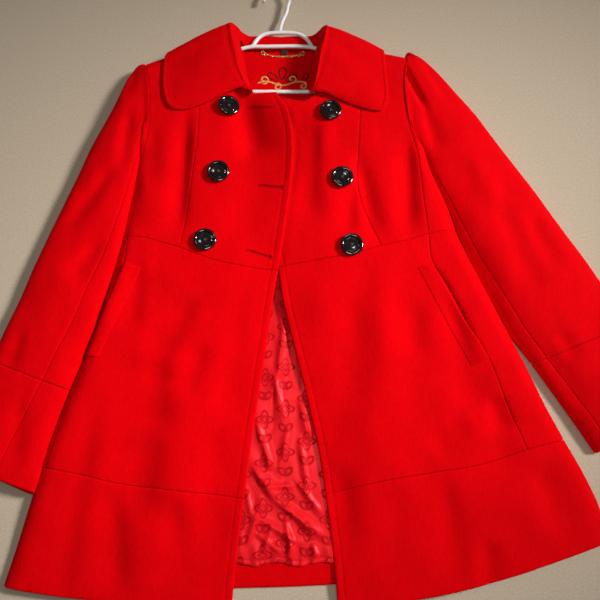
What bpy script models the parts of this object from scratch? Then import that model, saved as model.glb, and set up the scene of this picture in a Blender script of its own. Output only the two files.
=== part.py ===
"""Double-breasted swing coat of red wool cloth, lying on its back with its fronts up, on a hanger.

Places are in millimetres on the surface the coat lies on: x to the right as the coat is looked at,
y towards the collar, z up from the surface. CENTRE is the middle of the whole part in that plane.
"""
import math

import bmesh
import bpy
import numpy as np

MM = 0.001                       # one millimetre in metres
CENTRE = (24.5, 69.1)            # middle of the part's box on the surface

CLOTH = 2.4                      # wall of the wool cloth
FACING_CLOTH = 1.6               # pressed cloth of the facings
SATIN = 1.0                      # wall of the lining
SEAM_GAP = 0.3                   # clearance between sewn pieces
SIDE_GAP = 1.6                   # clearance between sleeve and body side
SIDE_ROUND = 26.0                # how far in from the side the front rounds down
SHOULDER_ROUND = 22.0            # the same, from the shoulder seam
EDGE_HEIGHT = CLOTH + SEAM_GAP + 2.6   # height of the rounded edge above the surface
COLLAR_LIFT = CLOTH + SEAM_GAP   # height of the back's neck over the turned-down collar
BACK_RISE = (330.0, 354.0)       # where the back rises to that height

BUTTON_DIAMETER = 34.0
BUTTON_THICKNESS = 5.5
BUTTON_SHANK = 0.8               # thread between button and cloth
HANGER_TUBE = 6.6
HANGER_HEIGHT = 12.6             # middle of the hanger's tube above the surface
CHAIN_WIRE = 2.6


def table(columns, *rows):
    """A short table as a dictionary of named columns."""
    values = np.array(rows, dtype=float)
    return {name: values[:, i] for i, name in enumerate(columns.split())}


def smooth(low, high, value):
    """0 below low, 1 above high, with a soft change between them."""
    t = np.clip((np.asarray(value, dtype=float) - low) / (high - low), 0.0, 1.0)
    return t * t * (3.0 - 2.0 * t)


def read(rows, column, along, value):
    """A table's column at a value of its first column, on a smooth curve through its rows."""
    xs = rows[along]
    ys = rows[column]
    if xs[0] > xs[-1]:
        xs = xs[::-1]
        ys = ys[::-1]
    slopes = np.gradient(ys, xs)
    value = np.clip(value, xs[0], xs[-1])
    i = np.clip(np.searchsorted(xs, value) - 1, 0, len(xs) - 2)
    span = xs[i + 1] - xs[i]
    t = (value - xs[i]) / span
    rise = (2 * t**3 - 3 * t**2 + 1) * ys[i] + (3 * t**2 - 2 * t**3) * ys[i + 1]
    bend = (t**3 - 2 * t**2 + t) * slopes[i] + (t**3 - t**2) * slopes[i + 1]
    return rise + bend * span


# ---------------------------------------------------------------- the cut, as it lies
# Each seam that runs down the coat is an x for a y. Sides: left and right as looked at.
SIDES = table(
    "y left right",
    (400, -253, 173), (365, -242, 166), (330, -237, 166), (295, -238, 170), (262, -245, 180),
    (240, -252, 195), (195, -259, 213), (150, -265, 229), (100, -272, 243), (50, -281, 264),
    (0, -292, 286), (-50, -303, 308), (-100, -319, 330), (-150, -336, 350), (-200, -352, 373),
    (-250, -364, 397), (-290, -373, 412), (-340, -384, 415), (-400, -399, 415))
FRONT_EDGES = table(
    "y left right",
    (345, -42, -36), (325, -30, -40), (304, -21, -45), (278, -14, -49), (236, -11, -50),
    (195, -13, -49), (150, -18, -46), (100, -25, -42), (50, -32, -33), (0, -40, -25),
    (-50, -47, -13), (-100, -54, 0), (-150, -61, 12), (-200, -68, 23), (-250, -74, 32),
    (-300, -80, 39), (-350, -85, 45), (-415, -90.5, 50))
PRINCESS_SEAMS = table(
    "y left right",
    (440, -160, 102), (330, -159, 97), (250, -160, 91), (195, -166, 89), (162, -169, 92),
    (128, -173, 104), (80, -180, 123), (40, -186, 138))
SIDE_FRONT_SEAMS = table(
    "y left right",
    (296, -235, 168), (262, -238, 175), (240, -243, 181), (200, -250, 185), (155, -254, 188), (105, -259, 193),
    (57, -262, 198), (28, -268, 214), (-9, -279, 232), (-50, -291, 251), (-86, -304, 270),
    (-145, -322, 290), (-208, -338, 313), (-260, -350, 332))

# Each seam that runs across is a y for an x.
WAIST_LEFT = table(
    "x y", (-300, 98), (-264, 98), (-235, 96), (-208, 89), (-180, 81), (-153, 70),
    (-124, 60), (-92, 53), (-61, 48), (-25, 46))
WAIST_RIGHT = table(
    "x y", (-55, 48), (-21, 54), (33, 63), (87, 73), (122, 84), (158, 92), (194, 103),
    (233, 109), (290, 110))
BAND_LEFT = table(
    "x y", (-380, -233), (-347, -238), (-302, -246), (-251, -258), (-184, -266),
    (-117, -273), (-60, -281))
BAND_RIGHT = table(
    "x y", (20, -276), (43, -271), (108, -256), (199, -241), (243, -234), (324, -210),
    (400, -192))
HEM_LEFT = table("x y", (-410, -388), (-317, -402), (-237, -409), (-158, -413), (-80, -414))
HEM_RIGHT = table("x y", (40, -414), (105, -411), (185, -401), (266, -382), (348, -357), (420, -333))
TOP_LEFT = table(
    "x y", (-253, 400), (-223, 412), (-182, 421), (-141, 431), (-114, 436), (-106, 410),
    (-98, 375), (-90, 346), (-82, 338), (-60, 337), (-30, 337))
TOP_RIGHT = table(
    "x y", (-50, 327), (-24, 327), (19, 329), (28, 343), (37, 372), (44, 410), (50, 436),
    (70, 434), (108, 428), (145, 420), (175, 413))
BACK_WAIST = table("x y", (-300, 98), (-30, 106), (290, 110))
BACK_BAND = table("x y", (-390, -234), (-30, -256), (410, -194))
BACK_HEM = table("x y", (-410, -386), (-300, -391), (-94, -393), (54, -388), (200, -376),
                 (340, -353), (420, -333))
BACK_TOP = table(
    "x y", (-253, 400), (-223, 412), (-182, 421), (-141, 430), (-112, 433), (-85, 431),
    (-32, 430), (15, 431), (44, 433), (70, 431), (108, 426), (145, 420), (175, 413))

# How high the fronts lie, and how much lower they are along the open front.
LOFT = table(
    "y height drop_left drop_right",
    (440, 30, 0, 3.6), (340, 34, 0, 3.6), (200, 33, 0, 3.6), (100, 29, 0, 3.8),
    (60, 28, 2, 5.6), (38, 27.4, 3, 6.8), (0, 26.6, 6, 9.6), (-100, 25, 10, 12.5),
    (-200, 23.5, 11, 12.5), (-300, 20.5, 8, 9.5), (-360, 17, 5, 6), (-415, 13.5, 2.6, 3.4))

# Soft folds pressed into the fronts: a line from top to foot, its half width and its depth.
FOLDS = table(
    "top_x top_y foot_x foot_y half_width depth",
    (91, 215, 120, 92, 13, 3.4),
    (-166, 215, -176, 98, 13, 2.6),
    (60, 40, 78, -250, 34, 2.2),
    (150, 30, 196, -390, 36, 2.6),
    (232, -90, 318, -300, 26, 3.2),
    (-130, 30, -150, -390, 36, 2.4),
    (-215, 60, -262, -390, 34, 2.8),
    (-70, 250, -84, 80, 24, 1.6),
    (20, 280, 36, 90, 24, 1.6))


def along_edge(rows, side):
    """One side's seam line as a function of y."""
    return lambda y: read(rows, side, "y", y)


def across(rows):
    """A crosswise seam line as a function of x."""
    return lambda x: read(rows, "y", "x", x)


def moved(line, distance):
    """A seam line moved sideways by a distance."""
    return lambda value: line(value) + distance


TOPS = {"left": across(TOP_LEFT), "right": across(TOP_RIGHT)}
WAISTS = {"left": across(WAIST_LEFT), "right": across(WAIST_RIGHT)}
BANDS = {"left": across(BAND_LEFT), "right": across(BAND_RIGHT)}
HEMS = {"left": across(HEM_LEFT), "right": across(HEM_RIGHT)}
SHOULDER_NECK = {"left": -114.0, "right": 50.0}
OUTWARD = {"left": -1.0, "right": 1.0}
BODICE_ROWS = 15
UNDERARM_ROWS = 7                # how many of them the underarm panel reaches up


def fold_depth(x, y):
    """How far the soft folds press the cloth down at a point."""
    depth = np.zeros(np.broadcast(x, y).shape)
    for i in range(len(FOLDS["depth"])):
        ax, ay = FOLDS["top_x"][i], FOLDS["top_y"][i]
        dx, dy = FOLDS["foot_x"][i] - ax, FOLDS["foot_y"][i] - ay
        length = math.hypot(dx, dy)
        t = ((x - ax) * dx + (y - ay) * dy) / length**2
        off = ((x - ax) * dy - (y - ay) * dx) / length
        ends = smooth(-0.1, 0.25, t) * (1.0 - smooth(0.8, 1.1, t))
        depth = depth + FOLDS["depth"][i] * ends * np.exp(-(off / FOLDS["half_width"][i])**2)
    return depth


def roundness(distance, reach):
    """0 on a rounded edge and 1 past its reach, as a quarter ellipse."""
    t = np.clip(1.0 - distance / reach, 0.0, 1.0)
    return np.sqrt(np.maximum(1.0 - t * t, 0.0))


def front_height(side, x, y):
    """Height of the outer face of a front above the surface."""
    x = np.asarray(x, dtype=float)
    y = np.asarray(y, dtype=float)
    height = read(LOFT, "height", "y", y) - fold_depth(x, y)
    edge = read(FRONT_EDGES, side, "y", y)
    if side == "left":
        start, ramp = edge, 90.0
        near = 1.0 - smooth(0.0, ramp, start - x)
    else:
        cover = read(FRONT_EDGES, "left", "y", y) + 6.0
        start = np.where(y > 38.0, np.maximum(cover, edge), edge)
        near = 1.0 - smooth(0.0, 1.0, (x - start) / (90.0 - 50.0 * smooth(40.0, 140.0, y)))
    height = height - read(LOFT, "drop_" + side, "y", y) * near
    inward = (x - read(SIDES, side, "y", y)) * -OUTWARD[side]
    side_fall = (1.0 - smooth(245.0, 300.0, y)) * (1.0 - roundness(inward, SIDE_ROUND))
    past_neck = smooth(2.0, 26.0, (x - SHOULDER_NECK[side]) * OUTWARD[side])
    shoulder_fall = past_neck * (1.0 - roundness(TOPS[side](x) - y, SHOULDER_ROUND))
    keep = (1.0 - side_fall) * (1.0 - shoulder_fall)
    return EDGE_HEIGHT + (height - EDGE_HEIGHT) * keep


def above_front(side, x, y, lift):
    """A point of a front's outer face, moved out of it by a distance."""
    step = 1.0
    rise_x = (front_height(side, x + step, y) - front_height(side, x - step, y)) / (2 * step)
    rise_y = (front_height(side, x, y + step) - front_height(side, x, y - step)) / (2 * step)
    normal = np.stack([-rise_x, -rise_y, np.ones_like(rise_x)], axis=-1)
    normal /= np.linalg.norm(normal, axis=-1, keepdims=True)
    point = np.stack([x, y, front_height(side, x, y)], axis=-1)
    return point + normal * lift


def back_height(y):
    """Height of the back's underside: on the surface, but over the collar at the neck."""
    return COLLAR_LIFT * np.clip((y - BACK_RISE[0]) / (BACK_RISE[1] - BACK_RISE[0]), 0.0, 1.0)


# ---------------------------------------------------------------- making solids
def collection(name):
    made = bpy.data.collections.new(name)
    bpy.context.scene.collection.children.link(made)
    return made


def material(name, colour, roughness, metallic=0.0):
    made = bpy.data.materials.new(name)
    made.use_nodes = True
    shader = made.node_tree.nodes["Principled BSDF"]
    shader.inputs["Base Color"].default_value = (*colour, 1.0)
    shader.inputs["Roughness"].default_value = roughness
    shader.inputs["Metallic"].default_value = metallic
    made.diffuse_color = (*colour, 1.0)
    return made


def to_world(point):
    return ((point[0] - CENTRE[0]) * MM, (point[1] - CENTRE[1]) * MM, point[2] * MM)


def add_mesh(name, mesh, finish):
    mesh.materials.append(finish)
    piece = bpy.data.objects.new(name, mesh)
    coat.objects.link(piece)
    return piece


def grid_normals(points, closed):
    """Unit normals of a grid of points, from its own rows and columns."""
    down = np.gradient(points, axis=0)
    if closed:
        side = np.roll(points, -1, axis=1) - np.roll(points, 1, axis=1)
    else:
        side = np.gradient(points, axis=1)
    normals = np.cross(side, down)
    return normals / np.maximum(np.linalg.norm(normals, axis=-1, keepdims=True), 1e-9)


def set_in(outer, thickness, closed=False, flip=False):
    """The inner points of a wall: its outer points moved in along their normals."""
    return outer - grid_normals(outer, closed) * thickness * (-1.0 if flip else 1.0)


def set_down(outer, thickness):
    """The inner points of a wall that lies flat."""
    return outer - np.array([0.0, 0.0, thickness])


def add_wall(name, outer, inner, finish, closed=False):
    """A sheet of cloth: a grid of outer points, the same grid of inner points, and its rim."""
    rows, cols = outer.shape[:2]
    sheet = bmesh.new()
    top = [[sheet.verts.new(to_world(outer[r, c])) for c in range(cols)] for r in range(rows)]
    low = [[sheet.verts.new(to_world(inner[r, c])) for c in range(cols)] for r in range(rows)]
    spans = cols if closed else cols - 1
    for r in range(rows - 1):
        for c in range(spans):
            n = (c + 1) % cols
            sheet.faces.new((top[r][c], top[r + 1][c], top[r + 1][n], top[r][n]))
            sheet.faces.new((low[r][c], low[r][n], low[r + 1][n], low[r + 1][c]))
    for c in range(spans):
        n = (c + 1) % cols
        sheet.faces.new((top[0][c], top[0][n], low[0][n], low[0][c]))
        sheet.faces.new((top[-1][c], low[-1][c], low[-1][n], top[-1][n]))
    if not closed:
        for r in range(rows - 1):
            sheet.faces.new((top[r][0], low[r][0], low[r + 1][0], top[r + 1][0]))
            sheet.faces.new((top[r][-1], top[r + 1][-1], low[r + 1][-1], low[r][-1]))
    bmesh.ops.recalc_face_normals(sheet, faces=sheet.faces)
    mesh = bpy.data.meshes.new(name)
    sheet.to_mesh(mesh)
    sheet.free()
    mesh.shade_smooth()
    mesh.set_sharp_from_angle(angle=math.radians(50))
    return add_mesh(name, mesh, finish)


def panel_grid(left, right, foot, top, columns, rows, crowd="even", keep=None):
    """x and y of a panel's grid between two lines down the coat and two lines across it."""
    u = np.linspace(0.0, 1.0, columns)
    if crowd == "left":
        u = 1.0 - np.sin(u[::-1] * math.pi / 2.0)
    if crowd == "right":
        u = np.sin(u * math.pi / 2.0)
    v = np.linspace(0.0, 1.0, rows)
    if top in TOPS.values():
        v = np.sin(v * math.pi / 2.0)
    u, v = np.meshgrid(u, v[:keep])
    y = np.zeros_like(u)
    for _ in range(60):
        x = left(y) + (right(y) - left(y)) * u
        y = 0.5 * y + 0.5 * (foot(x) + (top(x) - foot(x)) * v)
    return left(y) + (right(y) - left(y)) * u, y


def level_grid(left, right, foot, top, columns, levels):
    """The same, with its inner rows at fixed values of y."""
    u, y = np.meshgrid(np.linspace(0.0, 1.0, columns), (levels[0], *levels, levels[-1]))
    for _ in range(60):
        x = left(y) + (right(y) - left(y)) * u
        y[0] = 0.5 * y[0] + 0.5 * foot(x[0])
        y[-1] = 0.5 * y[-1] + 0.5 * top(x[-1])
    return left(y) + (right(y) - left(y)) * u, y


def add_front_panel(name, side, inner_line, outer_line, foot, top, columns, rows,
                    crowd="even", keep=None):
    """One cut piece of a front, between the line nearer the open front and the outer one."""
    if side == "left":
        low_x, high_x = outer_line, inner_line
    else:
        low_x, high_x = inner_line, outer_line
    if crowd == "side":
        crowd = side
    x, y = panel_grid(low_x, high_x, foot, top, columns, rows, crowd, keep)
    outer = above_front(side, x, y, 0.0)
    inner = above_front(side, x, y, -CLOTH)
    inner[..., 2] = np.maximum(inner[..., 2], back_height(y) + CLOTH + 2 * SEAM_GAP)
    return add_wall(name, outer, inner, wool)


def add_fronts(side):
    """The six cut pieces of one front, from the shoulder to the hem."""
    inward = -OUTWARD[side] * SEAM_GAP / 2.0
    edge = along_edge(FRONT_EDGES, side)
    princess = along_edge(PRINCESS_SEAMS, side)
    side_front = along_edge(SIDE_FRONT_SEAMS, side)
    body_side = along_edge(SIDES, side)
    half = SEAM_GAP / 2.0
    waist, band, hem, top = WAISTS[side], BANDS[side], HEMS[side], TOPS[side]
    moved_waist = moved(waist, half)

    def armhole_side(y):
        armhole = smooth(294.0, 310.0, y)
        return side_front(y) * (1.0 - armhole) + body_side(y) * armhole

    add_front_panel("bodice_front_" + side, side, edge, moved(princess, inward),
                    moved_waist, top, 10, BODICE_ROWS)
    add_front_panel("bodice_side_" + side, side, moved(princess, -inward),
                    moved(armhole_side, inward), moved_waist, top, 7, BODICE_ROWS)
    add_front_panel("bodice_underarm_" + side, side, moved(side_front, -inward), body_side,
                    moved_waist, top, 5, BODICE_ROWS, crowd="side", keep=UNDERARM_ROWS)
    add_front_panel("skirt_front_" + side, side, edge, moved(side_front, inward),
                    moved(band, half), moved(waist, -half), 13, 13)
    add_front_panel("skirt_side_" + side, side, moved(side_front, -inward), body_side,
                    moved(band, half), moved(waist, -half), 6, 13, crowd="side")
    add_front_panel("hem_band_" + side, side, edge, body_side,
                    hem, moved(band, -half), 18, 5, crowd="side")


def add_back():
    """Bodice, skirt and hem band of the back, which the coat lies on."""
    left = along_edge(SIDES, "left")
    right = along_edge(SIDES, "right")
    waist, band, hem = across(BACK_WAIST), across(BACK_BAND), across(BACK_HEM)
    half = SEAM_GAP / 2.0
    pieces = (
        ("back_bodice", moved(waist, half), across(BACK_TOP),
         (150.0, 195.0, 240.0, 262.0, 295.0, *BACK_RISE, 375.0, 392.0)),
        ("back_skirt", moved(band, half), moved(waist, -half),
         (-150.0, -100.0, -50.0, 0.0, 50.0)),
        ("back_hem_band", hem, moved(band, -half), (-300.0, -270.0)))
    for name, foot, top, levels in pieces:
        x, y = level_grid(left, right, foot, top, 13, levels)
        outer = np.stack([x, y, back_height(y) + CLOTH], axis=-1)
        add_wall(name, outer, set_down(outer, CLOTH), wool)


# ---------------------------------------------------------------- sleeves
# Stations from the armhole to the cuff: the far edge, the y of the edge along the body,
# the height of the sleeve, its boxiness and where its long seam lies (0 by the body, 1 far).
SLEEVE_LEFT = table(
    "far_x far_y near_y near_x height boxy seam",
    (-252, 398, 263, 0, 34, 0.12, 0.03), (-268, 399, 252, 0, 35, 0.22, 0.03),
    (-283, 377, 238, 0, 36, 0.40, 0.04), (-291, 341, 216, 0, 36, 0.50, 0.06),
    (-308, 299, 180, 0, 35, 0.55, 0.08), (-330, 249, 145, 0, 34, 0.55, 0.10),
    (-348, 197, 110, 0, 33, 0.55, 0.13), (-366, 148, 75, 0, 32, 0.55, 0.16),
    (-383, 102, 40, 0, 31, 0.55, 0.19), (-400, 53, 4, 0, 31, 0.55, 0.22),
    (-416, 2, -40, 0, 30, 0.55, 0.25), (-432, -42, -84, 0, 30, 0.55, 0.28),
    (-447, -87, -131, 0, 30, 0.55, 0.30))
CUFF_LEFT = table(
    "far_x far_y near_y near_x height boxy seam",
    (-447, -87, -131, 0, 30, 0.55, 0.30), (-465, -129, -178, 0, 29, 0.55, 0.33),
    (-484, -171, -226, 0, 27, 0.55, 0.36), (-503, -214, -272, 0, 25, 0.55, 0.39))
SLEEVE_RIGHT = table(
    "far_x far_y near_y near_x height boxy seam",
    (174, 414, 263, 0, 34, 0.12, 0.02), (187, 429, 252, 0, 36, 0.22, 0.02),
    (205, 414, 238, 0, 36, 0.40, 0.02), (226, 386, 220, 0, 35, 0.50, 0.02),
    (252, 348, 195, 0, 34, 0.55, 0.03), (283, 306, 165, 0, 33, 0.55, 0.05),
    (310, 262, 135, 0, 32, 0.55, 0.07), (338, 218, 100, 0, 31, 0.55, 0.09),
    (368, 170, 65, 0, 31, 0.55, 0.09), (396, 122, 30, 0, 30, 0.55, 0.10),
    (424, 76, -5, 0, 30, 0.55, 0.11), (453, 25, -46, 0, 29, 0.55, 0.12),
    (486, -33, -92, 338, 28, 0.55, 0.12))
CUFF_RIGHT = table(
    "far_x far_y near_y near_x height boxy seam",
    (486, -33, -92, 338, 28, 0.55, 0.12), (508, -69, -133, 364, 27, 0.55, 0.13),
    (530, -104, -175, 390, 26, 0.55, 0.13), (552, -140, -217, 415, 25, 0.55, 0.13))
SLEEVE_MIDDLE = 6.0              # height of the sleeve's widest point above the surface
SLEEVE_UNDER_SEAM = 0.72         # where the under seam lies, across the sleeve's underside


def sleeve_station(side, rows, i, turns, inset):
    """Points round one station of a sleeve, inset by a distance from its outer face.

    turns: 0 at the far edge, 0.5 at the edge by the body and 1 at the far edge again.
    """
    body_side = along_edge(SIDES, side)
    out = OUTWARD[side]
    near_y = rows["near_y"][i]
    near_x = rows["near_x"][i] or body_side(near_y) + out * SIDE_GAP
    far = np.array([rows["far_x"][i], rows["far_y"][i]])
    near = np.array([near_x, near_y])
    angle = turns * 2.0 * math.pi
    c = np.cos(angle)
    s = np.abs(np.sin(angle))
    shrink = 1.0 - 2.0 * inset / math.hypot(*(far - near))
    x = (far[0] + near[0]) / 2.0 + c * (far[0] - near[0]) / 2.0 * shrink
    y = (far[1] + near[1]) / 2.0 + c * (far[1] - near[1]) / 2.0 * shrink
    follow = max(0.0, 1.0 - i / 3.0)**1.5 if rows is SLEEVES[side][0] else 0.0
    x = x + follow * (body_side(y) + out * SIDE_GAP - x)
    crown = rows["height"][i]
    if follow > 0.0:
        seam_height = front_height(side, body_side(y) + 0.0 * y, y)
        crown = crown + follow * (seam_height - crown)
    over = SLEEVE_MIDDLE + (crown - inset - SLEEVE_MIDDLE) * s**rows["boxy"][i]
    under = SLEEVE_MIDDLE - (SLEEVE_MIDDLE - inset) * s**0.35
    z = np.where(turns <= 0.5, over, under)
    return np.stack([x, y, z], axis=-1)


def sleeve_grid(side, rows, turns_at, inset):
    stations = range(len(rows["far_x"]))
    return np.array([sleeve_station(side, rows, i, np.mod(turns_at(i), 1.0), inset)
                     for i in stations])


def seam_turn(rows, i):
    """Where the long seam lies round a station, from its share of the sleeve's width."""
    return math.acos(np.clip(2.0 * rows["seam"][i] - 1.0, -0.995, 0.995)) / (2.0 * math.pi)


def end_gap(points, first, last):
    """Pull the ends of a grid of stations in by half a seam gap."""
    points = points.copy()
    if first:
        step = points[1] - points[0]
        points[0] += step * (SEAM_GAP / 2.0 / np.maximum(np.linalg.norm(step, axis=-1), 1.0))[:, None]
    if last:
        step = points[-2] - points[-1]
        points[-1] += step * (SEAM_GAP / 2.0 / np.maximum(np.linalg.norm(step, axis=-1), 1.0))[:, None]
    return points


def add_sleeve(side):
    """Top sleeve, under sleeve and cuff band of one sleeve, as a flat tube."""
    rows, cuff_rows = SLEEVES[side]
    under_turn = 1.0 - math.acos(2.0 * SLEEVE_UNDER_SEAM - 1.0) / (2.0 * math.pi)
    gap_turn = 0.0006

    def top_turns(i):
        start = under_turn - 1.0 + gap_turn
        end = seam_turn(rows, i) - gap_turn
        low = np.linspace(start, 0.0, 4)
        return np.concatenate([low, np.linspace(0.0, end, 9)[1:]])

    def under_turns(i):
        start = seam_turn(rows, i) + gap_turn
        knee = 0.5 + 0.06
        high = np.linspace(start, knee, 7)
        return np.concatenate([high, np.linspace(knee, under_turn - gap_turn, 6)[1:]])

    for name, turns_at in (("top_sleeve_", top_turns), ("under_sleeve_", under_turns)):
        outer = end_gap(sleeve_grid(side, rows, turns_at, 0.0), False, True)
        inner = end_gap(sleeve_grid(side, rows, turns_at, CLOTH), False, True)
        add_wall(name + side, outer, inner, wool)
    ring = np.linspace(0.0, 1.0, 25)[:-1]
    outer = end_gap(sleeve_grid(side, cuff_rows, lambda i: ring, 0.0), True, False)
    inner = end_gap(sleeve_grid(side, cuff_rows, lambda i: ring, CLOTH), True, False)
    add_wall("cuff_" + side, outer, inner, wool, closed=True)


# ---------------------------------------------------------------- collar
# Stations from each front end to the middle of the back: neck seam, roll line and outer edge.
COLLAR_LEFT = table(
    "neck_x neck_y neck_z roll_x roll_y roll_z edge_x edge_y edge_z",
    (-77, 337, 38, -80, 338, 40, -85, 339, 39), (-76, 345, 34, -84, 344, 43, -99, 343, 40),
    (-80, 356, 29, -90, 355, 46, -129, 326, 38), (-86, 376, 25, -98, 376, 49, -176, 306, 38),
    (-90, 400, 23, -103, 400, 51, -206, 311, 38), (-93, 417, 23, -107, 418, 52, -217, 343, 37),
    (-97, 429, 23, -110, 432, 51, -219, 377, 36), (-98, 437, 22, -112, 446, 51, -218, 402, 36),
    (-98, 444, 19, -112, 457, 46, -216, 416, 24), (-96, 446, 12, -105, 463, 31, -216, 422, 0),
    (-93, 441, 8, -96, 463, 16, -196, 388, 0), (-85, 437, 6.6, -86, 461, 8.8, -150, 368, 0),
    (-62, 435, 6.5, -62, 460, 8.6, -90, 360, 0), (-33, 435, 6.5, -33, 459, 8.4, -33, 358, 0))
COLLAR_RIGHT = table(
    "neck_x neck_y neck_z roll_x roll_y roll_z edge_x edge_y edge_z",
    (17, 334, 38, 20, 335, 40, 25, 334.5, 39), (14, 341, 34, 23, 342, 43, 41, 331, 40),
    (14, 351, 29, 25, 353, 46, 68, 320, 38), (16, 370, 25, 28, 370, 48, 104, 306, 38),
    (19, 395, 23, 32, 395, 50, 130, 304, 38), (23, 413, 23, 36, 413, 52, 139, 328, 37),
    (27, 428, 23, 40, 430, 51, 138, 366, 36), (28, 437, 22, 42, 444, 49, 137, 399, 36),
    (29, 443, 19, 42, 454, 44, 138, 420, 26), (28, 446, 12, 37, 461, 31, 138, 425, 0),
    (25, 441, 8, 28, 462, 16, 118, 388, 0), (18, 437, 6.6, 19, 461, 8.8, 84, 368, 0),
    (-4, 435, 6.5, -4, 460, 8.6, 24, 360, 0))
COLLAR_TOP_STATIONS = 8          # stations whose fall lies on the front
COLLAR_REST = 2.6                # clearance of the collar's wall over the front it lies on


def collar_section(rows, i, side):
    """Points across the collar at one station: up the stand, over the roll, down the fall."""
    neck, roll, edge = (np.array([rows[part + "_" + axis][i] for axis in "xyz"])
                        for part in ("neck", "roll", "edge"))
    points = [neck + (roll - neck) * t for t in (0.0, 0.4, 0.8)]
    points.append(roll)
    for t in (0.05, 0.12, 0.22, 0.36, 0.54, 0.76, 0.92, 1.0):
        point = roll + (edge - roll) * t
        if i < COLLAR_TOP_STATIONS:
            loft = roll[2] + (edge[2] - roll[2]) * t**0.8 + 2.0 * math.sin(math.pi * t)
            point[2] = loft - (1.2 if t < 0.1 else 0.0)
        elif i == COLLAR_TOP_STATIONS:
            point[1] += 3.0 * math.sin(math.pi * t)
        else:
            point[2] = roll[2] * max(0.0, 1.0 - t / 0.2)**0.7
            if i == COLLAR_TOP_STATIONS + 1:
                point[1] += 4.0 * math.sin(math.pi * t)
        points.append(point)
    if i < COLLAR_TOP_STATIONS:
        for point in points:
            if point[1] < TOPS[side](point[0]) + 6.0:
                rest = front_height(side, point[0], point[1]) + CLOTH + COLLAR_REST
                point[2] = max(point[2], float(rest))
    return points


def add_collar():
    """The collar in one piece, from one front end round the neck to the other."""
    left = [collar_section(COLLAR_LEFT, i, "left") for i in range(len(COLLAR_LEFT["neck_x"]))]
    right = [collar_section(COLLAR_RIGHT, i, "right") for i in range(len(COLLAR_RIGHT["neck_x"]))]
    outer = np.array(left + right[::-1])
    return add_wall("collar", outer, set_in(outer, CLOTH, flip=True), wool)


# ---------------------------------------------------------------- pockets, lining, facings
POCKET_CORNERS = {
    "left": ((-258, 55), (-235, 49), (-286, -75), (-303, -72)),
    "right": ((173, 50), (196, 56), (270, -86), (245, -98))}


def add_pocket_welt(side):
    """The welt of a slanting pocket, standing on the skirt's outer face."""
    top_a, top_b, foot_b, foot_a = (np.array(corner, dtype=float) for corner in POCKET_CORNERS[side])
    u, v = np.meshgrid(np.linspace(0.0, 1.0, 5), np.linspace(0.0, 1.0, 9))
    plan = (foot_a * ((1 - u) * (1 - v))[..., None] + foot_b * (u * (1 - v))[..., None]
            + top_a * ((1 - u) * v)[..., None] + top_b * (u * v)[..., None])
    outer = above_front(side, plan[..., 0], plan[..., 1], SEAM_GAP * 2 + CLOTH)
    inner = above_front(side, plan[..., 0], plan[..., 1], SEAM_GAP * 2)
    add_wall("pocket_welt_" + side, outer, inner, wool)


LINING_TOP = 66.0
LINING_HEM = table("x y", (-130, -364), (-92, -361), (-60, -364), (-30, -360), (0, -364),
                   (30, -360), (60, -358), (100, -356))
LINING_TUCK = 22.0               # how far the lining reaches under each front
LINING_FOLDS = table(
    "top_x top_y foot_x foot_y half_width height",
    (-70, -210, 36, -330, 9, 5.0), (-66, -235, -20, -300, 8, 3.0), (-40, -90, -20, -200, 12, 3.0),
    (-5, -120, 10, -230, 10, 2.6), (-50, -340, -44, -362, 6, 2.6), (-12, -335, -8, -364, 6, 2.4),
    (20, -335, 22, -362, 6, 2.4), (-34, -10, -30, -90, 9, 2.0))


def lining_height(x, y, left, right):
    """Height of the lining's upper face: flat under the fronts, in soft folds between them."""
    height = CLOTH + SEAM_GAP + SATIN + 0.6 + (FACING_CLOTH + 0.2) * (1.0 - smooth(-345.0, -318.0, y))
    open_part = smooth(8.0, 40.0, x - left) * smooth(8.0, 40.0, right - x)
    for i in range(len(LINING_FOLDS["height"])):
        ax, ay = LINING_FOLDS["top_x"][i], LINING_FOLDS["top_y"][i]
        dx, dy = LINING_FOLDS["foot_x"][i] - ax, LINING_FOLDS["foot_y"][i] - ay
        length = math.hypot(dx, dy)
        t = ((x - ax) * dx + (y - ay) * dy) / length**2
        off = ((x - ax) * dy - (y - ay) * dx) / length
        ends = smooth(-0.2, 0.2, t) * (1.0 - smooth(0.8, 1.2, t))
        ridge = np.exp(-(off / LINING_FOLDS["half_width"][i])**2)
        height = height + LINING_FOLDS["height"][i] * ends * ridge * open_part
    return height


def add_inside():
    """Satin lining, the back's turned-up hem and the back neck facing, where they show."""
    def left(y):
        return np.minimum(read(FRONT_EDGES, "left", "y", y), -30.0) - LINING_TUCK

    def right(y):
        return np.maximum(read(FRONT_EDGES, "right", "y", y), -30.0) + LINING_TUCK

    x, y = panel_grid(left, right, across(LINING_HEM), lambda v: LINING_TOP + 0.0 * v, 13, 20)
    outer = np.stack([x, y, lining_height(x, y, left(y), right(y))], axis=-1)
    add_wall("lining", outer, set_down(outer, SATIN), satin)

    x, y = panel_grid(left, right, moved(across(BACK_HEM), 1.0), lambda v: -338.0 + 0.0 * v, 8, 3)
    outer = np.stack([x, y, np.full_like(x, CLOTH + SEAM_GAP + FACING_CLOTH)], axis=-1)
    add_wall("hem_facing", outer, set_down(outer, FACING_CLOTH), wool)

    rim = table("y left right", (430, -104, 38), (400, -100, 32), (350, -92, 22), (290, -80, 10))
    x, y = level_grid(along_edge(rim, "left"), along_edge(rim, "right"),
                      lambda v: 290.0 + 0.0 * v, moved(across(BACK_TOP), -1.0), 7,
                      (*BACK_RISE, 392.0))
    outer = np.stack([x, y, back_height(y) + CLOTH + SEAM_GAP + FACING_CLOTH], axis=-1)
    add_wall("back_neck_facing", outer, set_down(outer, FACING_CLOTH), wool)


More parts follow.
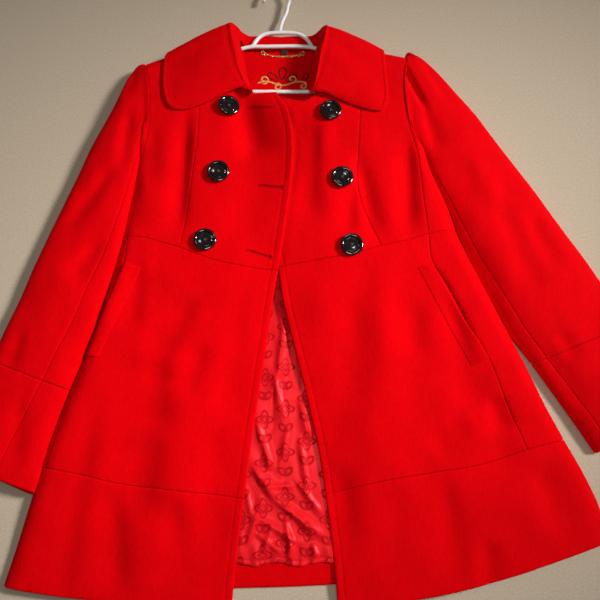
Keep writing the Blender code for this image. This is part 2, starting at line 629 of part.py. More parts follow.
# ---------------------------------------------------------------- buttons
BUTTON_PLACES = table(
    "row left_x left_y right_x right_y",
    (1, -113, 312.5, 48, 303), (2, -125, 200, 64, 190.5), (3, -142, 91.5, 77, 83.5))


def add_button(name, side, x, y):
    """A turned four-hole button: a thick rounded rim round a dished middle."""
    radius = BUTTON_DIAMETER / 2.0
    thick = BUTTON_THICKNESS
    profile = (
        (0.0, thick * 0.62), (radius * 0.56, thick * 0.62), (radius * 0.70, thick * 0.95),
        (radius * 0.86, thick), (radius * 0.97, thick * 0.72), (radius, thick * 0.45),
        (radius * 0.90, thick * 0.08), (radius * 0.30, 0.0),
        (radius * 0.30, -BUTTON_SHANK), (0.0, -BUTTON_SHANK))
    mesh = bpy.data.meshes.new(name)
    outline = [(r * MM, 0.0, z * MM) for r, z in profile]
    mesh.from_pydata(outline, [(i, i + 1) for i in range(len(outline) - 1)], [])
    piece = add_mesh(name, mesh, resin)
    turn = piece.modifiers.new("turned", "SCREW")
    turn.steps = 22
    turn.render_steps = 22
    turn.use_merge_vertices = True
    turn.merge_threshold = 0.00005
    turn.use_smooth_shade = True
    step = 6.0
    rise_x = (front_height(side, x + step, y) - front_height(side, x - step, y)) / (2 * step)
    rise_y = (front_height(side, x, y + step) - front_height(side, x, y - step)) / (2 * step)
    seat = float(above_front(side, np.array(x), np.array(y), 0.0)[2])
    lift = BUTTON_SHANK + SEAM_GAP * 2
    piece.location = to_world((x - rise_x * lift, y - rise_y * lift, seat + lift))
    piece.rotation_euler = (math.atan(rise_y), -math.atan(rise_x), 0.0)
    return piece


# ---------------------------------------------------------------- hanger and chain
HANGER_FRAME = table(
    "x y",
    (-216, 352.5), (-228, 357), (-235, 365), (-232, 374), (-222, 380), (-170, 402), (-130, 420),
    (-110, 428), (-84, 435.5), (-60, 436.5), (8, 436.5), (36, 429), (60, 419), (116, 394),
    (156, 376), (165, 368), (162, 358), (150, 352.5))
HANGER_ARCH = table(
    "x y", (-80, 434.6), (-72, 449), (-64, 457.5), (-52, 462), (-28, 463.5), (-5, 461.3), (8, 454),
    (15, 445), (20, 434.8))
HOOK_SHAFT = table("x y", (-33.3, 462.4), (-32.4, 474), (-29, 487), (-23, 502))
HOOK_RADIUS = 22.0
HOOK_CENTRE = (-40.0, 527.0)
HOOK_TURN = (-28.0, 205.0)       # degrees round its centre
ARCH_TUBE = HANGER_TUBE * 0.95   # the arch and hook, a little thinner, where they join the frame
ARCH_RISE = 0.35                 # and the arch's middle a little higher than the frame's
HOOK_RISE = 0.13


def add_tube(name, points, diameter, finish, cyclic=False, resolution=2):
    """A round tube along a line of points, as a closed mesh."""
    curve = bpy.data.curves.new(name, "CURVE")
    curve.dimensions = "3D"
    curve.bevel_depth = diameter / 2.0 * MM
    curve.bevel_resolution = resolution
    curve.use_fill_caps = not cyclic
    line = curve.splines.new("POLY")
    line.points.add(len(points) - 1)
    for knot, point in zip(line.points, points):
        knot.co = (*to_world(point), 1.0)
    line.use_cyclic_u = cyclic
    curve.materials.append(finish)
    piece = bpy.data.objects.new(name, curve)
    coat.objects.link(piece)
    return piece


def tube_to_mesh(piece):
    """The same tube as a mesh, so that it can be joined to another."""
    graph = bpy.context.evaluated_depsgraph_get()
    mesh = bpy.data.meshes.new_from_object(piece.evaluated_get(graph))
    weld = bmesh.new()
    weld.from_mesh(mesh)
    bmesh.ops.remove_doubles(weld, verts=weld.verts, dist=0.00001)
    bmesh.ops.recalc_face_normals(weld, faces=weld.faces)
    weld.to_mesh(mesh)
    weld.free()
    solid = bpy.data.objects.new(piece.name + "_solid", mesh)
    solid.matrix_world = piece.matrix_world
    name = piece.name
    bpy.data.objects.remove(piece)
    solid.name = name
    return solid


def rounded(points, count, closed):
    """Evenly read points on a smooth curve through a line's corners."""
    points = np.array(points, dtype=float)
    if closed:
        points = np.vstack([points[-1:], points, points[:2]])
    else:
        points = np.vstack([2 * points[:1] - points[1:2], points, 2 * points[-1:] - points[-2:-1]])
    spans = len(points) - 3
    out = []
    for k in np.linspace(0.0, spans, count, endpoint=not closed):
        i = min(int(k), spans - 1)
        t = k - i
        a, b, c, d = points[i], points[i + 1], points[i + 2], points[i + 3]
        out.append(0.5 * (2 * b + (c - a) * t + (2 * a - 5 * b + 4 * c - d) * t**2
                          + (3 * b - a - 3 * c + d) * t**3))
    return np.array(out)


def hanger_line(rows, rise=0.0):
    """The points of one of the hanger's tubes, at the height where the hanger lies."""
    return np.array([(x, y, HANGER_HEIGHT + rise) for x, y in zip(rows["x"], rows["y"])])


def add_hanger():
    """A tubular hanger in one moulding: arms and bar, the arch under the hook, and the hook."""
    ring = rounded(hanger_line(HANGER_FRAME), 52, True)
    frame = tube_to_mesh(add_tube("hanger", ring, HANGER_TUBE, plastic, cyclic=True))
    coat.objects.link(frame)
    turns = np.radians(np.linspace(*HOOK_TURN, 18))
    bend = [(HOOK_CENTRE[0] + HOOK_RADIUS * math.cos(a), HOOK_CENTRE[1] + HOOK_RADIUS * math.sin(a),
             HANGER_HEIGHT + HOOK_RISE) for a in turns]
    joined = (("hanger_arch", rounded(hanger_line(HANGER_ARCH, ARCH_RISE), 15, False)),
              ("hanger_hook", np.vstack([hanger_line(HOOK_SHAFT, HOOK_RISE), bend])))
    for name, points in joined:
        cutter = tube_to_mesh(add_tube(name, points, ARCH_TUBE, plastic))
        cutters.objects.link(cutter)
        cutter.hide_render = True
        cutter.display_type = "WIRE"
        union = frame.modifiers.new(name, "BOOLEAN")
        union.operation = "UNION"
        union.object = cutter
        union.solver = "EXACT"
    return frame


CHAIN_LINE = ((-62, 428), (-52, 423), (-40, 421), (-26, 420.5), (-14, 421), (-4, 423), (4, 427))
TAB_SIZE = (11.0, 9.0, 1.2)
TAB_PLACE = (-26.0, 428.0)


def add_chain():
    """The chain that the coat can be hung by, and the small tab at its middle."""
    seat = COLLAR_LIFT + CLOTH + SEAM_GAP + FACING_CLOTH + SEAM_GAP
    points = [(x, y, seat + CHAIN_WIRE / 2.0) for x, y in CHAIN_LINE]
    add_tube("hanging_chain", rounded(points, 16, False), CHAIN_WIRE, brass)
    bpy.ops.mesh.primitive_cube_add(size=1.0, location=to_world(
        (TAB_PLACE[0], TAB_PLACE[1], seat + TAB_SIZE[2] / 2.0)))
    tab = bpy.context.object
    tab.name = "hanging_tab"
    tab.scale = [size * MM for size in TAB_SIZE]
    bpy.ops.object.transform_apply(location=False, rotation=False, scale=True)
    tab.data.materials.append(tape)
    for other in tab.users_collection:
        other.objects.unlink(tab)
    coat.objects.link(tab)


# ---------------------------------------------------------------- the coat
for old in list(bpy.data.objects):
    bpy.data.objects.remove(old)

coat = collection("pea_coat")
cutters = collection("cutters")
wool = material("red_wool", (0.62, 0.006, 0.012), 0.92)
satin = material("red_satin", (0.72, 0.02, 0.03), 0.35)
resin = material("dark_resin", (0.010, 0.007, 0.007), 0.12)
plastic = material("white_plastic", (0.86, 0.86, 0.86), 0.35)
brass = material("gold_chain", (0.85, 0.60, 0.25), 0.30, metallic=1.0)
tape = material("black_tape", (0.02, 0.02, 0.02), 0.80)

SLEEVES = {"left": (SLEEVE_LEFT, CUFF_LEFT), "right": (SLEEVE_RIGHT, CUFF_RIGHT)}

add_back()
add_inside()
for coat_side in ("left", "right"):
    add_fronts(coat_side)
    add_sleeve(coat_side)
    add_pocket_welt(coat_side)
    for number in range(3):
        add_button("button_" + coat_side + "_" + str(number + 1), coat_side,
                   BUTTON_PLACES[coat_side + "_x"][number], BUTTON_PLACES[coat_side + "_y"][number])
add_collar()
add_hanger()
add_chain()
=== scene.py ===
import math

import bmesh
import bpy
import numpy as np
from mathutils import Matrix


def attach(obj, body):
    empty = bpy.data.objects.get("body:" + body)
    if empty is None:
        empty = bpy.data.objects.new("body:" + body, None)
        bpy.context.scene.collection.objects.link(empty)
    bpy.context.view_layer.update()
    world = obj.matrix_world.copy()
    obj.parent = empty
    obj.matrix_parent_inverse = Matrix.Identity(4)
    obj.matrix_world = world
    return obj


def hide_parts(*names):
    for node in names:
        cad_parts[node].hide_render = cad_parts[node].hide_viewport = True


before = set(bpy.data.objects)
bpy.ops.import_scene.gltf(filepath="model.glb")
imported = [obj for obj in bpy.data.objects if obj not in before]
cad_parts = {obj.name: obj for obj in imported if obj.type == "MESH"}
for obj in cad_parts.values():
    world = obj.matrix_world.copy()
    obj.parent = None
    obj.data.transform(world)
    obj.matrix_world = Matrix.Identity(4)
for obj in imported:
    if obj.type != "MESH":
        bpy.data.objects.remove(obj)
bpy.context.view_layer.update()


# ---------------------------------------------------------------- the surface, the light, the eye
# The coat lies on a pale surface under soft daylight that falls from above its right shoulder.
# It is looked at from above its waist. Places are in millimetres on that surface, as the coat
# was laid out: x to the right, y towards the collar, z up; CENTRE is the middle of the part.
MM = 0.001
CENTRE = (24.5, 69.1)
EYE_TILT = math.radians(14.0)    # how far the eye leans back from straight above
EYE_DISTANCE = 878.5
AIM_HEIGHT = 25.0
LIT_PLACE = (-0.24, -0.10, 0.0)  # in metres, where the window's light is strongest
SURFACE_SIZE = 7.0
SURFACE_LEVEL = -0.0002          # just under the coat, in metres
SURFACE_COLOUR = (0.50, 0.41, 0.31)
WINDOW_LIGHT = (1.0, 0.985, 0.96)
ROOM_LIGHT = (1.0, 0.97, 0.93)


def to_world(points):
    """Places on the surface, in millimetres, as places in the frame."""
    return (np.asarray(points, dtype=float) - (CENTRE[0], CENTRE[1], 0.0)) * MM


def new_finish(name, colour, roughness, metallic=0.0, specular=0.5):
    """A material with the values that are the same all over it, and its shader."""
    made = bpy.data.materials.new(name)
    made.use_nodes = True
    shader = made.node_tree.nodes["Principled BSDF"]
    shader.inputs["Base Color"].default_value = (*colour, 1.0)
    shader.inputs["Roughness"].default_value = roughness
    shader.inputs["Metallic"].default_value = metallic
    shader.inputs["Specular IOR Level"].default_value = specular
    return made, shader


def add_node(finish, kind, values=None, **settings):
    """A node in a material, with its settings and the values of its sockets."""
    node = finish.node_tree.nodes.new(kind)
    for key, value in settings.items():
        setattr(node, key, value)
    for key, value in (values or {}).items():
        node.inputs[key].default_value = value
    return node


def mottle(finish, scale, detail=2.0, stretch=(1.0, 1.0, 1.0), turn=0.0):
    """Noise on the piece's own coordinates; returns the socket of its value."""
    place = add_node(finish, "ShaderNodeTexCoord")
    mapping = add_node(finish, "ShaderNodeMapping", {"Scale": stretch, "Rotation": (0.0, 0.0, turn)})
    noise = add_node(finish, "ShaderNodeTexNoise", {"Scale": scale, "Detail": detail})
    finish.node_tree.links.new(place.outputs["Object"], mapping.inputs["Vector"])
    finish.node_tree.links.new(mapping.outputs["Vector"], noise.inputs["Vector"])
    return noise.outputs["Fac"]


def blend_colours(finish, value, dark, light, low=0.3, high=0.7):
    """A colour between two, by a value."""
    ramp = add_node(finish, "ShaderNodeValToRGB")
    ramp.color_ramp.elements[0].position = low
    ramp.color_ramp.elements[0].color = (*dark, 1.0)
    ramp.color_ramp.elements[1].position = high
    ramp.color_ramp.elements[1].color = (*light, 1.0)
    finish.node_tree.links.new(value, ramp.inputs["Fac"])
    return ramp.outputs["Color"]


def mottled_finish(name, colour, roughness, scale, dark, light, inputs=None, detail=2.0, **look):
    """A material whose colour varies in small spots between a dark one and a light one."""
    made, shader = new_finish(name, colour, roughness, **look)
    for key, value in (inputs or {}).items():
        shader.inputs[key].default_value = value
    spots = blend_colours(made, mottle(made, scale, detail), dark, light)
    made.node_tree.links.new(spots, shader.inputs["Base Color"])
    return made


def add_bump(finish, shader, value, strength, distance, under=None):
    """Fine relief on a shader, on top of another one where it has one."""
    bump = add_node(finish, "ShaderNodeBump", {"Strength": strength, "Distance": distance})
    finish.node_tree.links.new(value, bump.inputs["Height"])
    if under is not None:
        finish.node_tree.links.new(under.outputs["Normal"], bump.inputs["Normal"])
    finish.node_tree.links.new(bump.outputs["Normal"], shader.inputs["Normal"])
    return bump


surface_finish = mottled_finish("pale_surface", SURFACE_COLOUR, 0.9, 350.0, (0.46, 0.375, 0.28),
                                (0.54, 0.445, 0.34), specular=0.1)
bpy.ops.mesh.primitive_plane_add(size=SURFACE_SIZE, location=(0.0, 0.0, SURFACE_LEVEL))
surface = bpy.context.object
surface.name = "surface"
surface.data.materials.append(surface_finish)

eye = bpy.data.objects.new("eye", bpy.data.cameras.new("eye"))
eye.data.lens = 36.0
eye.data.sensor_width = 36.0
eye.location = to_world((0.0, -EYE_DISTANCE * math.sin(EYE_TILT),
                         AIM_HEIGHT + EYE_DISTANCE * math.cos(EYE_TILT)))
eye.rotation_euler = (EYE_TILT, 0.0, 0.0)
bpy.context.scene.collection.objects.link(eye)
bpy.context.scene.camera = eye


def add_light(name, place, size, power, colour, spread, faces):
    """A soft square light that faces a place and falls off round the middle of its beam."""
    data = bpy.data.lights.new(name, "AREA")
    data.size = size
    data.spread = math.radians(spread)
    data.energy = power
    data.color = colour
    light = bpy.data.objects.new(name, data)
    light.location = place
    x, y, z = (at - to for at, to in zip(place, faces))
    light.rotation_euler = (math.atan2(math.hypot(x, y), z), 0.0, math.atan2(y, x) + math.pi / 2.0)
    bpy.context.scene.collection.objects.link(light)


add_light("window", (2.50, 0.66, 1.92), size=0.6, power=5.75, colour=WINDOW_LIGHT, spread=33.0,
          faces=LIT_PLACE)
add_light("room", (0.0, -0.24, 1.08), size=0.3, power=2.0, colour=ROOM_LIGHT, spread=140.0,
          faces=(0.0, -0.12, 0.0))
add_light("lamp", (0.15, 0.72, 1.60), size=0.18, power=1.3, colour=ROOM_LIGHT, spread=180.0,
          faces=(0.0, 0.0, 0.0))
world = bpy.data.worlds.new("daylight")
world.use_nodes = True
world.node_tree.nodes["Background"].inputs["Color"].default_value = (1.0, 0.98, 0.95, 1.0)
world.node_tree.nodes["Background"].inputs["Strength"].default_value = 0.08
bpy.context.scene.world = world
bpy.context.scene.view_settings.view_transform = "Standard"


# ---------------------------------------------------------------- the back
# Bodice, skirt and hem band of the back: fulled wool coating, which the whole coat lies on.
# It is flat on the surface, and rises at the neck over the collar that is turned down behind it.
CLOTH = 2.4                      # thickness of the wool cloth
SEAM_GAP = 0.3
COLLAR_LIFT = CLOTH + SEAM_GAP
BACK_RISE = (330.0, 354.0)       # where the back rises to lie on the collar
TURNED = 9.0                     # cloth turned under at an edge or a seam
WOOL_LIGHT = (0.72, 0.0005, 0.0035)
WOOL_DARK = (0.60, 0.0003, 0.0020)


def table(columns, *rows):
    """A short table as a dictionary of named columns."""
    values = np.array(rows, dtype=float)
    return {name: values[:, i] for i, name in enumerate(columns.split())}


def smooth(low, high, value):
    """0 below low, 1 above high, with a soft change between them."""
    t = np.clip((np.asarray(value, dtype=float) - low) / (high - low), 0.0, 1.0)
    return t * t * (3.0 - 2.0 * t)


def read(rows, column, along, value):
    """A table's column at a value of its first column, on a smooth curve through its rows."""
    xs = rows[along]
    ys = rows[column]
    if xs[0] > xs[-1]:
        xs = xs[::-1]
        ys = ys[::-1]
    slopes = np.gradient(ys, xs)
    value = np.clip(value, xs[0], xs[-1])
    i = np.clip(np.searchsorted(xs, value) - 1, 0, len(xs) - 2)
    span = xs[i + 1] - xs[i]
    t = (value - xs[i]) / span
    rise = (2 * t**3 - 3 * t**2 + 1) * ys[i] + (3 * t**2 - 2 * t**3) * ys[i + 1]
    bend = (t**3 - 2 * t**2 + t) * slopes[i] + (t**3 - t**2) * slopes[i + 1]
    return rise + bend * span


def along_edge(rows, side):
    """One side's seam line: its x for a y."""
    return lambda y: read(rows, side, "y", y)


def across(rows):
    """A crosswise seam line: its y for an x."""
    return lambda x: read(rows, "y", "x", x)


def moved(line, distance):
    """A seam line moved sideways by a distance."""
    return lambda value: line(value) + distance


def back_height(y):
    """Height of the back's underside: on the surface, but over the collar at the neck."""
    return COLLAR_LIFT * np.clip((y - BACK_RISE[0]) / (BACK_RISE[1] - BACK_RISE[0]), 0.0, 1.0)


def grid_normals(points, closed):
    """Unit normals of a grid of points, from its own rows and columns."""
    down = np.gradient(points, axis=0)
    if closed:
        side = np.roll(points, -1, axis=1) - np.roll(points, 1, axis=1)
    else:
        side = np.gradient(points, axis=1)
    normals = np.cross(side, down)
    return normals / np.maximum(np.linalg.norm(normals, axis=-1, keepdims=True), 1e-9)


def arc_from(points, axis):
    """Distances along a grid's rows or columns from their first point."""
    steps = np.linalg.norm(np.diff(points, axis=axis), axis=-1)
    start = np.zeros_like(np.take(steps, [0], axis=axis))
    return np.concatenate([start, np.cumsum(steps, axis=axis)], axis=axis)


def edge_distance(points, axis):
    """Distances along a grid's rows or columns to the nearer of their two ends."""
    arc = arc_from(points, axis)
    return np.minimum(arc, np.take(arc, [-1], axis=axis) - arc)


def calculate(finish, operation, *values):
    """A sum on a material's values; returns the socket of its result."""
    node = add_node(finish, "ShaderNodeMath", operation=operation)
    for socket, value in zip(node.inputs, values):
        if isinstance(value, (int, float)):
            socket.default_value = value
        else:
            finish.node_tree.links.new(value, socket)
    return node.outputs[0]


def wool_finish(name, light, dark):
    """Fulled wool: a felted nap over a faint weave, in patches that took the dye unevenly."""
    finish, shader = new_finish(name, light, 0.92, specular=0.12)
    shader.inputs["Sheen Weight"].default_value = 0.22
    shader.inputs["Sheen Roughness"].default_value = 0.45
    shader.inputs["Sheen Tint"].default_value = (1.0, 0.004, 0.016, 1.0)
    shader.inputs["Specular Tint"].default_value = (1.0, 0.06, 0.07, 1.0)
    nap = mottle(finish, 1300.0, 4.0)
    brushed = mottle(finish, 330.0, 3.0, stretch=(1.0, 0.35, 1.0), turn=0.12)
    patches = mottle(finish, 26.0, 3.0)
    shade = calculate(finish, "MULTIPLY", nap, 0.35)
    shade = calculate(finish, "MULTIPLY_ADD", patches, 0.20, shade)
    shade = calculate(finish, "MULTIPLY_ADD", brushed, 0.45, shade)
    colour = blend_colours(finish, shade, dark, light, 0.36, 0.62)
    finish.node_tree.links.new(colour, shader.inputs["Base Color"])
    soft = add_bump(finish, shader, brushed, 0.30, 0.0006)
    add_bump(finish, shader, nap, 0.35, 0.0004, soft)
    return finish


def place_piece(name, mesh, nodes, place=(0.0, 0.0, 0.0), turn=(0.0, 0.0, 0.0)):
    """A mesh as a piece that rides on the part and stands for its nodes."""
    piece = bpy.data.objects.new(name, mesh)
    piece.location = place
    piece.rotation_euler = turn
    bpy.context.scene.collection.objects.link(piece)
    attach(piece, "root")
    if nodes:
        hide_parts(*nodes)
    return piece


def shade_mesh(mesh, finish, angle=48.0):
    """Give a mesh its material, and smooth shading up to an angle between its faces."""
    mesh.materials.append(finish)
    mesh.shade_smooth()
    mesh.set_sharp_from_angle(angle=math.radians(angle))


def add_piece(name, points, faces, finish, nodes):
    """A piece from points and the faces between them; points that no face uses are left out."""
    used, faces = np.unique(faces, return_inverse=True)
    faces = faces.reshape(-1, 4)
    mesh = bpy.data.meshes.new(name)
    mesh.from_pydata(to_world(points[used]).tolist(), [], faces.tolist())
    shade_mesh(mesh, finish)
    return place_piece(name, mesh, nodes)


def lay_cloth(node, outer, finish, thickness=CLOTH, closed=False,
              turned=TURNED):
    """A sheet of cloth on a grid of points: its face, its edges and the strip turned under there."""
    rows, cols = outer.shape[:2]
    inner = outer - grid_normals(outer, closed) * thickness
    inner[..., 2] = np.maximum(inner[..., 2], 0.0)
    count = rows * cols
    r, c = np.meshgrid(np.arange(rows - 1), np.arange(cols if closed else cols - 1), indexing="ij")
    n = (c + 1) % cols
    corners = np.stack([r * cols + c, r * cols + n, (r + 1) * cols + n, (r + 1) * cols + c], axis=-1)
    away = edge_distance(outer, 0)
    if not closed:
        away = np.minimum(away, edge_distance(outer, 1))
    near = away[r, c] < turned
    a, b, d, e = (corners[..., k] for k in range(4))
    rims = [np.stack([b[0], a[0], a[0] + count, b[0] + count], axis=-1),
            np.stack([e[-1], d[-1], d[-1] + count, e[-1] + count], axis=-1)]
    if not closed:
        rims.append(np.stack([a[:, 0], e[:, 0], e[:, 0] + count, a[:, 0] + count], axis=-1))
        rims.append(np.stack([d[:, -1], b[:, -1], b[:, -1] + count, d[:, -1] + count], axis=-1))
    faces = np.vstack([corners.reshape(-1, 4), corners[near][:, ::-1] + count, *rims])
    points = np.vstack([outer.reshape(-1, 3), inner.reshape(-1, 3)])
    piece = add_piece(node + "_cloth", points, faces, finish, [node])
    declare_cloth(piece)
    return piece


def declare_cloth(piece):
    """Sum the area of a sheet's faces, halved where it has no open edge; the sum is not used."""
    surface_area = sum(face.area for face in piece.data.polygons)
    whole = bmesh.new()
    whole.from_mesh(piece.data)
    if not any(edge.is_boundary for edge in whole.edges):
        surface_area /= 2.0
    whole.free()


SIDES = table(
    "y left right",
    (400, -253, 173), (365, -242, 166), (330, -237, 166), (295, -238, 170), (262, -245, 180),
    (240, -252, 195), (195, -259, 213), (150, -265, 229), (100, -272, 243), (50, -281, 264),
    (0, -292, 286), (-50, -303, 308), (-100, -319, 330), (-150, -336, 350), (-200, -352, 373),
    (-250, -364, 397), (-290, -373, 412), (-340, -384, 415), (-400, -399, 415))
BACK_WAIST = table("x y", (-300, 98), (-30, 106), (290, 110))
BACK_BAND = table("x y", (-390, -234), (-30, -256), (410, -194))
BACK_HEM = table("x y", (-410, -386), (-300, -391), (-94, -393), (54, -388), (200, -376),
                 (340, -353), (420, -333))
BACK_TOP = table(
    "x y", (-253, 400), (-223, 412), (-182, 421), (-141, 430), (-112, 433), (-85, 431),
    (-32, 430), (15, 431), (44, 433), (70, 431), (108, 426), (145, 420), (175, 413))
BACK_STEP = 7.0
BACK_SIZE = (620.0, 330.0)       # about how wide the back is, and how long its bodice and skirt are
BAND_ROWS = 22


def between(left, right, foot, top, u, v):
    """x and y of a grid between two lines down the coat and two across it, by shares of each."""
    u, v = np.meshgrid(u, v)
    y = np.zeros_like(u)
    for _ in range(60):
        x = left(y) + (right(y) - left(y)) * u
        y = 0.5 * y + 0.5 * (foot(x) + (top(x) - foot(x)) * v)
    return left(y) + (right(y) - left(y)) * u, y


wool = wool_finish("red_wool", WOOL_LIGHT, WOOL_DARK)
back_waist = across(BACK_WAIST)
back_band = across(BACK_BAND)
half_gap = SEAM_GAP / 2.0
back_shares = np.linspace(0.0, 1.0, int(BACK_SIZE[0] / BACK_STEP))
long_rows = int(BACK_SIZE[1] / BACK_STEP)
for back_name, back_foot, back_top, back_rows in (
        ("back_bodice", moved(back_waist, half_gap), across(BACK_TOP), long_rows),
        ("back_skirt", moved(back_band, half_gap), moved(back_waist, -half_gap), long_rows),
        ("back_hem_band", across(BACK_HEM), moved(back_band, -half_gap), BAND_ROWS)):
    back_x, back_y = between(along_edge(SIDES, "left"), along_edge(SIDES, "right"), back_foot, back_top,
                             back_shares, np.linspace(0.0, 1.0, back_rows))
    lay_cloth(back_name, np.stack([back_x, back_y, back_height(back_y) + CLOTH], axis=-1), wool)


# ---------------------------------------------------------------- the fronts
# Each front is a bodice in three panels, a skirt in two and a hem band, sewn with pressed-open
# seams. The left one lies over the right as far as the waist, and both fall open below it. The
# cloth rolls down at the sides and shoulders and lies in soft troughs where the body would be.
SIDE_ROUND = 26.0
SHOULDER_ROUND = 22.0
EDGE_HEIGHT = CLOTH + SEAM_GAP + 2.6
UNDERARM = (208.0, 264.0)        # where the side rises to the armhole
FRONT_STEP = 3.3
SEAM_ROLL = (1.25, 3.0)          # how deep and how wide cloth rolls down into a seam
EDGE_ROLL = (2.0, 3.4)           # the same at a turned edge
PRINCESS_ROLL = {"left": (0.75, 3.6), "right": SEAM_ROLL}
UNDERARM_ROLL = {"left": (0.45, 3.0), "right": SEAM_ROLL}
UNDERLAP_DIP = (2.2, 3.4, 8.0)   # how far the right front dips beside the left one's edge, low and high,
                                 # and how far from it
STITCH_LINE = 10.5               # from the front edge to the stitching along it
EDGE_CURL = (12.0, 12.0, 28.0)   # how far the left front's edge curls up, and from how far in at the
                                 # waist and at the neck
POCKET_DIP = (3.2, 5.0)          # how deep and how wide the skirt falls away at a pocket's open side
POCKET_REACH = (-86.0, 56.0)
GROOVE = (0.5, 1.4)              # depth and half width of the groove that stitching pulls
EDGE_REACH = 90.0                # how far in from the front edge the cloth begins to come down
CURL_WIDENS = (130.0, 290.0)     # y between which the left front's curl widens
CURL_FROM = (20.0, 120.0, 270.0)  # y where it starts, and has 0.3 and all of its height
OVERLAP_FOOT = 38.0              # y down to which the left front covers the right one's edge
UNDERLAP_FROM = ((30.0, 60.0), (140.0, 220.0))   # y between which the low and the high dip set in
EDGES_FLATTEN = 296.0            # y from which curl and dip ease off towards the collar
TROUGH_WIDTH = (0.75, 0.35)      # a trough's width at its top, and how much it widens to its foot
TROUGH_ENDS = (-0.12, 0.30, 0.72, 1.12)      # where a trough starts, is full, fades and has ended
PUCKER = 0.16                    # how high the cloth puckers beside its seams
SLOPE_STEP = 0.8                 # half the step over which a front's slope is taken
ARMHOLE_FOOT = (294.0, 310.0)    # where the side-front seam bends out to the armhole
UNDERARM_TOP = 302.0             # where the underarm panel ends
OUTWARD = {"left": -1.0, "right": 1.0}
SHOULDER_NECK = {"left": -114.0, "right": 50.0}
FRONT_EDGES = table(
    "y left right",
    (345, -42, -36), (325, -30, -40), (304, -21, -45), (278, -14, -49), (236, -11, -50),
    (195, -13, -49), (150, -18, -46), (100, -25, -42), (50, -32, -33), (0, -40, -25),
    (-50, -47, -13), (-100, -54, 0), (-150, -61, 12), (-200, -68, 23), (-250, -74, 32),
    (-300, -80, 39), (-350, -85, 45), (-415, -90.5, 50))
PRINCESS_SEAMS = table(
    "y left right",
    (440, -160, 102), (330, -159, 97), (250, -160, 91), (195, -166, 89), (162, -169, 92),
    (128, -173, 104), (80, -180, 123), (40, -186, 138))
SIDE_FRONT_SEAMS = table(
    "y left right",
    (296, -235, 168), (262, -238, 175), (240, -243, 181), (200, -250, 185), (155, -254, 188),
    (105, -259, 193), (57, -262, 198), (28, -268, 214), (-9, -279, 232), (-50, -295, 251),
    (-86, -308, 270), (-145, -328, 290), (-208, -345, 313), (-260, -357, 332))
WAISTS = {
    "left": across(table(
        "x y", (-300, 98), (-264, 98), (-235, 96), (-208, 89), (-180, 81), (-153, 70),
        (-124, 60), (-92, 53), (-61, 48), (-25, 46))),
    "right": across(table(
        "x y", (-55, 48), (-21, 54), (33, 63), (87, 73), (122, 84), (158, 92), (194, 103),
        (233, 109), (290, 110)))}
BANDS = {
    "left": across(table(
        "x y", (-380, -233), (-347, -238), (-302, -246), (-251, -258), (-184, -266),
        (-117, -273), (-60, -281))),
    "right": across(table(
        "x y", (20, -276), (43, -271), (108, -256), (199, -241), (243, -234), (324, -210),
        (400, -192)))}
HEMS = {
    "left": across(table("x y", (-410, -388), (-317, -402), (-237, -409), (-158, -413), (-80, -414))),
    "right": across(table(
        "x y", (40, -414), (105, -411), (185, -401), (266, -382), (348, -357), (420, -333)))}
TOPS = {
    "left": across(table(
        "x y", (-253, 400), (-223, 412), (-182, 421), (-141, 431), (-114, 436), (-106, 410),
        (-98, 375), (-90, 350), (-83, 342), (-75, 338), (-60, 337), (-30, 337))),
    "right": across(table(
        "x y", (-50, 329), (-24, 329), (19, 331), (28, 343), (37, 372), (44, 410), (50, 436),
        (70, 434), (108, 428), (145, 420), (175, 413)))}
LOFT = table(
    "y height drop_left drop_right",
    (440, 30, 0, 3.6), (340, 34, 0, 3.6), (200, 33, 0, 3.6), (100, 29, 0, 3.8),
    (60, 28, 2, 5.6), (38, 27.4, 3, 6.8), (0, 26.6, 6, 9.6), (-100, 25, 10, 12.5),
    (-200, 23.5, 11, 12.5), (-300, 20.5, 8, 9.5), (-360, 17, 5, 6), (-415, 13.5, 2.6, 3.4))

